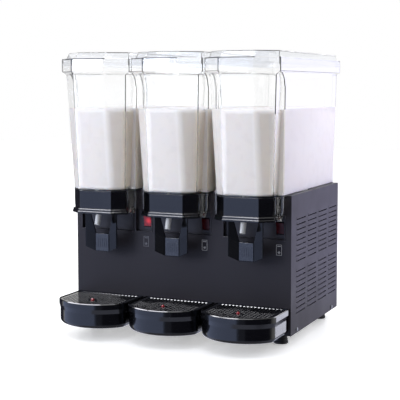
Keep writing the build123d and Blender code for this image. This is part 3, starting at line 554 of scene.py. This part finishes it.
# the raw blocks are larger than the bowl all round, and the slices take off what is too much
BLOCK_HALF, BLOCK_FRONT, BLOCK_REAR = 120.0, -140.0, 420.0
MIDDLE_Z = 430.0
COLUMN_DEPTH = 150.0
drink = block("drink_middle", at(-BLOCK_HALF, BODY_STEP, FLOOR_Z), at(BLOCK_HALF, BLOCK_REAR, LEVEL_Z))
slice_to(drink, body_corners, at(0, COLUMN_DEPTH, MIDDLE_Z))
drink_nose = block("drink_nose", at(-BLOCK_HALF, BLOCK_FRONT, FLOOR_Z), at(BLOCK_HALF, NOSE_REAR, LEVEL_Z))
slice_to(drink_nose, nose_corners, at(0, 0, MIDDLE_Z))

# the two upright edges at the front of the nose are rounded
BEND_R = 27.0
TALL = 100 * MM
FRONT_EDGES_Y = at(0, -60, 0).y
FRONT_EDGES_X = 45 * MM
for edge in drink_nose.data.edges:
    ends = [drink_nose.data.vertices[index].co for index in edge.vertices]
    tall = abs(ends[0].z - ends[1].z) > TALL
    edge.select = tall and all(end.y < FRONT_EDGES_Y and abs(end.x) < FRONT_EDGES_X for end in ends)
print("front edges to round", sum(edge.select for edge in drink_nose.data.edges))
bpy.ops.object.mode_set(mode="EDIT")
bpy.ops.mesh.select_mode(type="EDGE")
bpy.ops.mesh.bevel(offset=BEND_R * math.tan(NOSE_TURN / 2) * MM, segments=10, affect="EDGES")
bpy.ops.object.mode_set(mode="OBJECT")
apply_modifier(drink, "BOOLEAN", operation="UNION", object=drink_nose, solver="EXACT")

ROOM_R, ROOM_H, ROOM_TOP = 70.2, 160.0, 490.0
start_clean()
bpy.ops.mesh.primitive_cylinder_add(
    vertices=96,
    radius=ROOM_R * MM,
    depth=ROOM_H * MM,
    location=at(0, COLUMN_DEPTH, ROOM_TOP - ROOM_H / 2),
)
column_room = bpy.context.object
apply_modifier(drink, "BOOLEAN", operation="DIFFERENCE", object=column_room, solver="EXACT")
for tool in (drink_nose, column_room):
    bpy.data.objects.remove(tool)

# a narrow round on every edge, then smooth shading that keeps the wider turns crisp
EDGE_MM = 0.3
apply_modifier(
    drink, "BEVEL", width=EDGE_MM * MM, segments=2, limit_method="ANGLE", angle_limit=math.radians(30)
)
start_clean()
drink.select_set(True)
bpy.ops.object.shade_smooth_by_angle(angle=math.radians(25))
print("drink faces", len(drink.data.polygons))

# %% [markdown]
# Milk scatters light just under its surface, which softens its shading. A trace of foam shows as
# slightly rougher patches. Where two drinks face each other, light goes to and fro between them and
# takes on a warmer tone. The few bounces of a render don't show this, so this bounced light is painted
# into the colour: the sides that face a gap to their right are mixed towards a warmer, creamy white.

# %% Milk, and a copy for each bowl
milk, tree, shader, place = new_finish("milk", Subsurface_Weight=0.3, Subsurface_Scale=0.01, IOR=1.35)
shader.inputs["Subsurface Radius"].default_value = (1.0, 0.8, 0.6)
FOAM_MM = 25.0
foam = add_node(tree, "ShaderNodeTexNoise", {"Scale": 1 / (FOAM_MM * MM), "Detail": 4.0}, {"Vector": place})
wet = add_node(
    tree,
    "ShaderNodeMapRange",
    {"From Min": 0.3, "From Max": 0.7, "To Min": 0.22, "To Max": 0.4},
    {"Value": foam.outputs["Fac"]},
)
tree.links.new(wet.outputs["Result"], shader.inputs["Roughness"])
# the outer side of the right drink lies further across than this, in metres, and gets no painted bounce light
INNER_SIDES = 0.24
SIDE_FROM, SIDE_FULL = 0.55, 0.97
facing = add_node(tree, "ShaderNodeNewGeometry").outputs["Normal"]
sideways = add_node(tree, "ShaderNodeSeparateXYZ", links={0: facing}).outputs["X"]
sidelong = add_node(
    tree, "ShaderNodeMapRange", {"From Min": SIDE_FROM, "From Max": SIDE_FULL}, {"Value": sideways}
)
across = add_node(tree, "ShaderNodeSeparateXYZ", links={0: place}).outputs["X"]
inner = add_node(tree, "ShaderNodeMath", {"operation": "LESS_THAN", 1: INNER_SIDES}, {0: across})
# painted bounce light: the colour is mixed towards a warmer white on the sides that face a neighbour
painted_bounce_mask = add_node(
    tree, "ShaderNodeMath", {"operation": "MULTIPLY"}, {0: inner.outputs[0], 1: sidelong.outputs["Result"]}
)
painted_bounce_tint = add_node(
    tree,
    "ShaderNodeMix",
    {"data_type": "RGBA", 6: colour("#eee8e4"), 7: colour("#fcefdf")},
    {0: painted_bounce_mask.outputs[0]},
)
tree.links.new(painted_bounce_tint.outputs[2], shader.inputs["Base Color"])
drink.data.materials.clear()
drink.data.materials.append(milk)
drinks = {"middle": drink}
for side in ("left", "right"):
    drinks[side] = copy_at(drink, f"drink_{side}", Vector((BOWL_X[side] * MM, 0, 0)))
for side, piece in drinks.items():
    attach(piece, f"bowl_{side}")
print("drinks", len(drinks))

# %% [markdown]
# ## Softened edges
# Moulded plastic has no knife edges: the tool breaks them by half a millimetre or so, and that narrow
# face is what catches the light as a thin bright line. The CAD meshes are loose triangles with
# normals of their own, which a bevel would smear over its new faces. So a small node group first
# drops these normals and shades every facet flat, a Weld joins the triangles, and a Bevel then breaks
# every edge that turns sharply. All three stay live, because a CAD mesh itself is never changed.

# %% Break the moulded edges
WELD_MM = 0.01
SHARP = math.radians(50)
facets = bpy.data.node_groups.new("flat_facets", "GeometryNodeTree")
for way in ("INPUT", "OUTPUT"):
    facets.interface.new_socket("Geometry", in_out=way, socket_type="NodeSocketGeometry")
came_in = add_node(facets, "NodeGroupInput").outputs[0]
plain = add_node(facets, "GeometryNodeRemoveAttribute", {"Name": "custom_normal"}, {"Geometry": came_in})
flat = add_node(facets, "GeometryNodeSetShadeSmooth", {"Shade Smooth": False}, {"Geometry": plain.outputs[0]})
add_node(facets, "NodeGroupOutput", links={0: flat.outputs[0]})


def soften(width_mm, segments, *names):
    """Breaks the sharp edges of CAD nodes with live modifiers."""
    for name in names:
        shading = nodes[name].modifiers.new("flat_facets", "NODES")
        shading.node_group = facets
        weld = nodes[name].modifiers.new("weld", "WELD")
        weld.merge_threshold = WELD_MM * MM
        bevel = nodes[name].modifiers.new("moulded_round", "BEVEL")
        bevel.width = width_mm * MM
        bevel.segments = segments
        bevel.use_clamp_overlap = False
        bevel.limit_method = "ANGLE"
        bevel.angle_limit = SHARP
    print("softened", len(names), "nodes by", width_mm, "mm")


soften(0.6, 1, *each("cradle", "tap_lever"))
soften(0.8, 2, "control_strip")
soften(0.2, 1, *each("drip_grid"))

# %% [markdown]
# ## Louvre hoods
# Each slot of the side panels is lanced and pressed outward, so a shallow hood hangs over it and
# sheds water. One hood is a block whose upper edge is pushed back flush with the sheet, whose lip
# is drawn in at both ends, and which hangs a little lower at its front end. It is copied over the
# whole field of slots, and the field is mirrored for the other side. A displaced sheet would need
# thousands of faces for the same shape.

# %% Model one hood and copy it over the slots
SIDE_FACE = 270.0
HOOD_L = 64.0
HOOD_H = 5.6
HOOD_ROOT = 0.2
HOOD_PROUD = 0.5
HOOD_FLUSH = 0.05
LIP_DROP = 0.7
LIP_DRAW = 0.94
HOOD_BREAK = 0.5
SLOT_FIRST, SLOT_PITCH, SLOT_COLUMNS = 68.0, 80.7, 4
SLOT_TOPS, SLOT_ROW_PITCH, SLOT_ROWS = (280.0, 163.0), 11.7, 9
SLOT_HALF_H = 1.4

hood = block(
    "hood",
    Vector((SIDE_FACE - HOOD_ROOT, -HOOD_L / 2, 0)) * MM,
    Vector((SIDE_FACE + HOOD_PROUD, HOOD_L / 2, HOOD_H)) * MM,
)
for vertex in hood.data.vertices:
    outer = vertex.co.x > SIDE_FACE * MM
    upper = vertex.co.z > HOOD_H / 2 * MM
    if outer and upper:
        vertex.co.x = (SIDE_FACE + HOOD_FLUSH) * MM
    elif outer:
        vertex.co.y *= LIP_DRAW
    if not upper and vertex.co.y < 0:
        vertex.co.z -= LIP_DROP * MM
apply_modifier(
    hood, "BEVEL", width=HOOD_BREAK * MM, segments=1, limit_method="ANGLE", angle_limit=math.radians(40)
)
print("hood faces", len(hood.data.polygons))
row = []
for top in SLOT_TOPS:
    for line in range(SLOT_ROWS):
        for column in range(SLOT_COLUMNS):
            y = FRONT + SLOT_FIRST + column * SLOT_PITCH
            z = top - line * SLOT_ROW_PITCH + SLOT_HALF_H
            row.append(copy_at(hood, "hood", Vector((0, y, z)) * MM))
bpy.data.objects.remove(hood)
hoods = join(row, "louvre_hoods_right")
hoods.data.materials.clear()
hoods.data.materials.append(powder)
start_clean()
hoods.select_set(True)
bpy.context.view_layer.objects.active = hoods
bpy.ops.object.duplicate()
mirrored = bpy.context.object
mirrored.name = "louvre_hoods_left"
mirrored.scale.x = -1
bpy.ops.object.transform_apply(location=True, rotation=True, scale=True)
bpy.ops.object.mode_set(mode="EDIT")
bpy.ops.mesh.select_all(action="SELECT")
bpy.ops.mesh.normals_make_consistent(inside=False)
bpy.ops.object.mode_set(mode="OBJECT")
for piece in (hoods, mirrored):
    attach(piece, "case")
print("hoods", len(row), "a side")

# %% [markdown]
# ## Grip on the levers
# The pad of each lever has a face with upright ribs, and each wing has slanting ribs beside its lower
# edge. They could be drawn with bump, but then the exported mesh would be smooth, so each rib is a bar
# with rounded edges that stands 0.6 mm proud. On a wing it is slanted with the edge first and then
# turned with the wing. The pad has a soft-touch coat, a rubbery dark paint that shows a wide, dim
# sheen. Its grain is about 0.1 mm, drawn here at 1.2 mm.

# %% Model the pad and the ribs, and copy the set to each lever
PAD_FACE, PAD_ROOT = -41.4, -39.8
PAD_HALF, PAD_LOW, PAD_HIGH, PAD_ROUND = 16.8, 192.5, 233.0, 0.7
RIB_PROUD, RIB_ROOT, RIB_ROUND = 0.6, 0.1, 0.45
PAD_RIB_PITCH, PAD_RIB_HALF = 5.4, 1.1
PAD_RIB_LOW, PAD_RIB_HIGH = 201.5, 222.0
WING_FLARE = math.degrees(math.atan2(7.5, 23.5))
WING_SLANT = 25.0
WING_RIB_X, WING_RIB_DEPTH = 29.2, -43.9
WING_RIB_FIRST, WING_RIB_PITCH, WING_RIBS = 202.0, 5.6, 7
WING_RIB_L, WING_RIB_H = 21.5, 1.8


def turned_bar(centre, size, slant, flare):
    """Adds a bar round a point, slanted about Y and then turned about Z, in degrees."""
    start_clean()
    bpy.ops.mesh.primitive_cube_add(size=1, location=centre)
    bar = bpy.context.object
    bar.scale = Vector(size) * MM
    bar.rotation_euler = (0, math.radians(slant), math.radians(flare))
    bpy.ops.object.transform_apply(location=True, rotation=True, scale=True)
    return bar


def round_edges(piece, width_mm):
    """Rounds all edges of a small piece."""
    apply_modifier(piece, "BEVEL", width=width_mm * MM, segments=2, limit_method="ANGLE", angle_limit=0.7)
    return piece


pad = block("pad", at(-PAD_HALF, PAD_FACE, PAD_LOW), at(PAD_HALF, PAD_ROOT, PAD_HIGH))
round_edges(pad, PAD_ROUND)
pad_ribs = []
for step in (-2, -1, 0, 1, 2):
    x = step * PAD_RIB_PITCH
    rib_low = at(x - PAD_RIB_HALF, PAD_FACE - RIB_PROUD, PAD_RIB_LOW)
    rib_high = at(x + PAD_RIB_HALF, PAD_FACE + RIB_ROOT, PAD_RIB_HIGH)
    pad_ribs.append(round_edges(block("rib", rib_low, rib_high), RIB_ROUND))
pad = join([pad] + pad_ribs, "pad_grip_middle")
wing_ribs = []
for sign in (-1, 1):
    for step in range(WING_RIBS):
        middle = at(sign * WING_RIB_X, WING_RIB_DEPTH, WING_RIB_FIRST + step * WING_RIB_PITCH)
        size = (WING_RIB_L, 2 * RIB_PROUD, WING_RIB_H)
        bar = turned_bar(middle, size, -sign * WING_SLANT, -sign * WING_FLARE)
        wing_ribs.append(round_edges(bar, RIB_ROUND))
wings = join(wing_ribs, "wing_ribs_middle")
soft_touch, tree, shader, place = new_finish("soft_touch_pad", Base_Color=colour("#3b3f4a"), IOR=1.5)
TOUCH_MM = 1.2
touch = add_node(tree, "ShaderNodeTexNoise", {"Scale": 1 / (TOUCH_MM * MM), "Detail": 3.0}, {"Vector": place})
worn_touch = add_node(
    tree,
    "ShaderNodeMapRange",
    {"From Min": 0.3, "From Max": 0.7, "To Min": 0.2, "To Max": 0.34},
    {"Value": touch.outputs["Fac"]},
)
tree.links.new(worn_touch.outputs["Result"], shader.inputs["Roughness"])
for piece, finish in ((pad, soft_touch), (wings, worn_gloss)):
    piece.data.materials.clear()
    piece.data.materials.append(finish)
grips = [("middle", pad), ("middle", wings)]
for side in ("left", "right"):
    offset = Vector((BOWL_X[side] * MM, 0, 0))
    grips.append((side, copy_at(pad, f"pad_grip_{side}", offset)))
    grips.append((side, copy_at(wings, f"wing_ribs_{side}", offset)))
for side, piece in grips:
    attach(piece, f"tap_lever_{side}")
print("grips", len(grips))

# %% [markdown]
# ## Switch labels
# Under each switch a small pictogram is printed on the panel in pale ink: a tall frame, a bar for
# the lid and a snowflake for cooling. The ink film is given 0.15 mm so that it is a real shape, and
# it is a little uneven, as screen printing is. The left label's ink is greyer.

# %% Model one label and copy it
INK = 0.15
LABEL_Z = 215.0
LABEL_HALF_W = 6.5
LABEL_HALF_H = 12.0
LINE = 0.8
LID_BAR_HALF, LID_BAR_LOW, LID_BAR_HIGH = 4.0, 4.5, 3.2
SNOW_ABOVE, SNOW_ARM = 6.5, 3.6


def ink_bar(x0, x1, z0, z1):
    """Thin bar of ink on the panel, at the middle of the machine."""
    return block("ink", at(x0, -INK, z0), at(x1, 0, z1))


def snow_arms(z, length):
    """Three crossed bars that make a snowflake round a point."""
    return [turned_bar(at(0, -INK / 2, z), (2 * length, INK, LINE), turn, 0) for turn in (0, 60, 120)]


low, high = LABEL_Z - LABEL_HALF_H, LABEL_Z + LABEL_HALF_H
bars = [
    ink_bar(-LABEL_HALF_W, LINE - LABEL_HALF_W, low, high),
    ink_bar(LABEL_HALF_W - LINE, LABEL_HALF_W, low, high),
    ink_bar(-LABEL_HALF_W, LABEL_HALF_W, low, low + LINE),
    ink_bar(-LABEL_HALF_W, LABEL_HALF_W, high - LINE, high),
    ink_bar(-LID_BAR_HALF, LID_BAR_HALF, high - LID_BAR_LOW, high - LID_BAR_HIGH),
]
label = join(bars + snow_arms(low + SNOW_ABOVE, SNOW_ARM), "switch_label_middle")
pale_ink, tree, shader, place = new_finish("pale_printing_ink", Roughness=0.5)
SPECK_MM = 1.0
speck = add_node(tree, "ShaderNodeTexNoise", {"Scale": 1 / (SPECK_MM * MM), "Detail": 2.0}, {"Vector": place})
printed = add_node(
    tree,
    "ShaderNodeMix",
    {"data_type": "RGBA", 6: colour("#ececf0"), 7: colour("#ffffff")},
    {0: speck.outputs["Fac"]},
)
tree.links.new(printed.outputs[2], shader.inputs["Base Color"])
label.data.materials.clear()
label.data.materials.append(pale_ink)
labels = []
for side, x in SWITCH_X.items():
    labels.append(copy_at(label, f"switch_label_{side}", Vector((x * MM, 0, 0))))
bpy.data.objects.remove(label)

# the left label gets a greyer copy of the ink
greyer_ink = pale_ink.copy()
greyer_ink.name = "greyer_printing_ink"
greyed_mix = greyer_ink.node_tree.nodes["Mix"]
greyed_mix.inputs[6].default_value = colour("#7d7d83")
greyed_mix.inputs[7].default_value = colour("#96969c")
labels[0].data.materials[0] = greyer_ink
for piece in labels:
    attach(piece, "case")
print("labels", len(labels))

# %% [markdown]
# ## Studio
# The photograph is a product picture on a white sweep: a white floor with a soft shadow, bright
# white behind the machine, a soft blue-white light at the front left, and a dark side of the room
# at the front right that shows as black in the gloss. The floor glows for rays that look at it, so
# that it is white without more light on the machine. The glow fades where the machine stands close,
# which keeps the shadow. For light that bounces, the paper is greyer, so that it doesn't fill the
# shadows under the machine.

# %% Floor
start_clean()
bpy.ops.mesh.primitive_plane_add(size=14, location=(0, 0, 0))
floor = bpy.context.object
floor.name = "studio_floor"
paper, tree, shader, place = new_finish("white_sweep", Roughness=0.28)
shader.inputs["Specular IOR Level"].default_value = 0.35
# how much of the room's white is withheld from light that the drink scatters
VEILED = 0.5


def seen_rays(tree):
    """1 for rays that look at the studio: straight, in a gloss or through clear plastic. Less for
    light that the drink scatters, which leaves through the bowl as if it looked through it."""
    path = add_node(tree, "ShaderNodeLightPath").outputs
    mirrored = add_node(
        tree, "ShaderNodeMath", {"operation": "MAXIMUM"}, {0: path["Is Camera Ray"], 1: path["Is Glossy Ray"]}
    )
    through = add_node(
        tree,
        "ShaderNodeMath",
        {"operation": "MAXIMUM"},
        {0: mirrored.outputs[0], 1: path["Is Transmission Ray"]},
    )
    scattered = add_node(
        tree, "ShaderNodeMath", {"operation": "GREATER_THAN", 1: 0.5}, {0: path["Diffuse Depth"]}
    )
    kept = add_node(
        tree, "ShaderNodeMath", {"operation": "MULTIPLY_ADD", 1: -VEILED, 2: 1.0}, {0: scattered.outputs[0]}
    )
    seen = add_node(
        tree, "ShaderNodeMath", {"operation": "MULTIPLY"}, {0: through.outputs[0], 1: kept.outputs[0]}
    )
    return seen.outputs[0]


SHADE_MM = 60.0
SHADE_POWER = 0.2
PAPER_GLOW = 0.64
open_sky = add_node(tree, "ShaderNodeAmbientOcclusion", {"Distance": SHADE_MM * MM, "samples": 12})
shade = add_node(tree, "ShaderNodeMath", {"operation": "POWER", 1: SHADE_POWER}, {0: open_sky.outputs["AO"]})
glow = add_node(
    tree, "ShaderNodeMath", {"operation": "MULTIPLY"}, {0: seen_rays(tree), 1: shade.outputs[0]}
)
lift = add_node(tree, "ShaderNodeMath", {"operation": "MULTIPLY", 1: PAPER_GLOW}, {0: glow.outputs[0]})
shader.inputs["Emission Color"].default_value = (1.0, 1.0, 1.0, 1.0)
tree.links.new(lift.outputs[0], shader.inputs["Emission Strength"])
bounce = add_node(tree, "ShaderNodeLightPath").outputs["Is Diffuse Ray"]
paper_tone = add_node(
    tree, "ShaderNodeMix", {"data_type": "RGBA", 6: colour("#f4f4f6"), 7: colour("#a8a8aa")}, {0: bounce}
)
tree.links.new(paper_tone.outputs[2], shader.inputs["Base Color"])
floor.data.materials.append(paper)
print("floor ready")

# %% [markdown]
# The room is white where it is seen. As a light on the machine it is dimmer, and darkest at the
# front right, which shapes the faceted bowls.

# %% Room
world = bpy.data.worlds.new("studio_room")
scene.world = world
world.use_nodes = True
tree = world.node_tree
room = tree.nodes["Background"]
DARK_SIDE = (0.77, -0.64, 0.0)
ROOM_LIGHT = 0.53
look = add_node(tree, "ShaderNodeTexCoord").outputs["Generated"]
side = add_node(tree, "ShaderNodeVectorMath", {"operation": "DOT_PRODUCT", 1: DARK_SIDE}, {0: look})
dim = add_node(
    tree,
    "ShaderNodeMapRange",
    {"From Min": -0.3, "From Max": 1.0, "To Min": ROOM_LIGHT, "To Max": 0.0},
    {"Value": side.outputs["Value"]},
)
strength = add_node(tree, "ShaderNodeMix", {3: 1.0}, {0: seen_rays(tree), 2: dim.outputs["Result"]})
room.inputs["Color"].default_value = (1.0, 1.0, 1.0, 1.0)
tree.links.new(strength.outputs[0], room.inputs["Strength"])
print("room ready")

# %% [markdown]
# Three softboxes light the machine: a low one at the front left that reaches in under the cradles,
# one at the right rear for the louvred side, and one overhead.

# %% Softboxes
MACHINE_MIDDLE = Vector((0, 0, 0.3))


def round_the_machine(azimuth, elevation):
    """Direction from the machine, with azimuth 0 in front of it and 90 on its right."""
    a, e = math.radians(azimuth), math.radians(elevation)
    return Vector((math.sin(a) * math.cos(e), -math.cos(a) * math.cos(e), math.sin(e)))


def softbox(name, azimuth, elevation, distance, size, power, tint):
    """Square lamp on a circle round the machine, aimed at its middle."""
    way = round_the_machine(azimuth, elevation)
    start_clean()
    bpy.ops.object.light_add(type="AREA", location=MACHINE_MIDDLE + way * distance)
    lamp = bpy.context.object
    lamp.name = name
    lamp.data.size = size
    lamp.data.energy = power
    lamp.data.color = tint
    lamp.rotation_euler = (-way).to_track_quat("-Z", "Y").to_euler()


softbox("softbox_front_left", -34, 12, 2.6, 1.0, 22.5, (0.86, 0.93, 1.06))
softbox("softbox_right_rear", 130, 25, 2.6, 1.6, 25, (0.95, 0.97, 1.04))
softbox("softbox_top", 0, 80, 2.4, 1.6, 20, (0.98, 1.0, 1.04))

# %% [markdown]
# ## Cards
# What the eye reads as gloss is the room mirrored in it. The black plastic mirrors a bluish card at
# the front left that fades into a black flag at the front right, with upright edges all the way
# down, and another flag at the left. Cards at the right rear show in the right side of the trays
# and the case. Bright strips overhead and a key card high at the front left draw the thin lines on
# broken edges and on the teeth of the drip grids. Only mirrored rays see these cards, which put no
# light on the machine and no shadow, and mirrored rays look through the floor to the lower half of
# the cards and a grey card below.

# %% Cards that only the gloss mirrors


def card(name, corners, glow):
    """Flat card between four corners in metres, seen by glossy rays alone."""
    start_clean()
    bpy.ops.mesh.primitive_plane_add(size=1)
    piece = bpy.context.object
    piece.name = name
    for vertex, corner in zip(piece.data.vertices, corners):
        vertex.co = corner
    piece.visible_camera = False
    piece.visible_diffuse = False
    piece.visible_transmission = False
    piece.visible_shadow = False
    skin, tree, shader, place = new_finish(f"{name}_paint", Base_Color=(0.0, 0.0, 0.0, 1.0), Roughness=1.0)
    shader.inputs["Specular IOR Level"].default_value = 0.0
    shader.inputs["Emission Color"].default_value = (*glow, 1.0)
    shader.inputs["Emission Strength"].default_value = 1.0
    depth = add_node(tree, "ShaderNodeLightPath").outputs["Transmission Depth"]
    inside = add_node(tree, "ShaderNodeMath", {"operation": "GREATER_THAN", 1: 0.5}, {0: depth})
    air = add_node(tree, "ShaderNodeBsdfTransparent")
    pick = add_node(
        tree,
        "ShaderNodeMixShader",
        links={0: inside.outputs[0], 1: shader.outputs["BSDF"], 2: air.outputs["BSDF"]},
    )
    tree.links.new(pick.outputs["Shader"], tree.nodes["Material Output"].inputs["Surface"])
    piece.data.materials.append(skin)


def standing(first, last, distance, low, high):
    """Corners of an upright card from one azimuth to another, between two heights."""
    left, right = (round_the_machine(azimuth, 0) * distance for azimuth in (first, last))
    return [place + Vector((0, 0, z)) for z in (low, high) for place in (left, right)]


def level_card(across, along, z):
    """Corners of a level card between two places across, two along the depth, at a height."""
    return [Vector((x, y, z)) for y in along for x in across]


floor.visible_glossy = False
# cards stand on a wide circle, and those that have to be in front of a wider one on a nearer circle
CIRCLE, NEAR = 2.6, 2.3
LOW, HIGH, STRIP_Z = -1.5, 1.4, 2.2
FLAG = (0.05, 0.05, 0.075)
STRIP = (15.0, 15.0, 16.0)
card("blue_card", standing(-92, 1, CIRCLE, LOW, HIGH), (0.78, 0.93, 1.42))
card("blue_edge", standing(1, 5, CIRCLE, LOW, HIGH), (0.3, 0.35, 0.5))
card("blue_fade", standing(5, 20, CIRCLE, LOW, HIGH), (0.16, 0.17, 0.23))
card("dark_flag", standing(20, 80, CIRCLE, LOW, HIGH), FLAG)
card("left_flag", standing(-128, -98, CIRCLE, LOW, HIGH), FLAG)
card("rear_low", standing(149, 156, NEAR, -0.66, -0.28), (2.6, 2.65, 3.05))
card("rear_foot", standing(156, 164, NEAR, -1.25, -0.85), (1.6, 1.65, 1.9))
card("rear_middle", standing(138, 172, CIRCLE, -0.4, 0.8), (1.08, 1.05, 1.55))
card("rear_dim", standing(138, 172, CIRCLE, -1.1, -0.4), (0.1, 0.1, 0.14))
card("rear_high", standing(150, 178, CIRCLE, 1.0, 1.6), (5.0, 5.0, 5.4))
card("strip_front", level_card((-1.5, -0.1), (-1.2, -0.62), STRIP_Z), STRIP)
card("strip_near", level_card((-1.5, -0.1), (-0.48, 0.2), STRIP_Z), STRIP)
card("strip_left", level_card((-3.2, -1.55), (-0.9, 0.8), STRIP_Z), STRIP)
card("key_card", standing(-41, -21, NEAR, 1.7, 2.4), (32.0, 32.0, 34.0))
card("under_card", level_card((-4, 4), (-4, 4), LOW), (0.6, 0.63, 0.8))
card("shade_card", level_card((-1.25, 1.25), (-1.25, 1.25), LOW + 0.01), (0.3, 0.3, 0.34))

# %% [markdown]
# ## Camera
# A long lens stands to the right of the machine, a little above the bowls' middle. Its tilt and a
# small shift share the work of framing, so that the uprights stay nearly parallel.

# %% Camera
AZIMUTH = 23.914
TILT = 4.398
LENS_MM, SENSOR_MM = 94.24, 36.0
SHIFT = -0.08
STAND = (1.0095, -2.2839, 0.5724)
camera_data = bpy.data.cameras.new("camera")
camera = bpy.data.objects.new("camera", camera_data)
scene.collection.objects.link(camera)
camera_data.sensor_width = SENSOR_MM
camera_data.lens = LENS_MM
camera_data.shift_y = SHIFT
camera.location = STAND
camera.rotation_euler = (math.radians(90 - TILT), 0, math.radians(AZIMUTH))
scene.camera = camera
print("camera at", [round(v, 3) for v in camera.location])
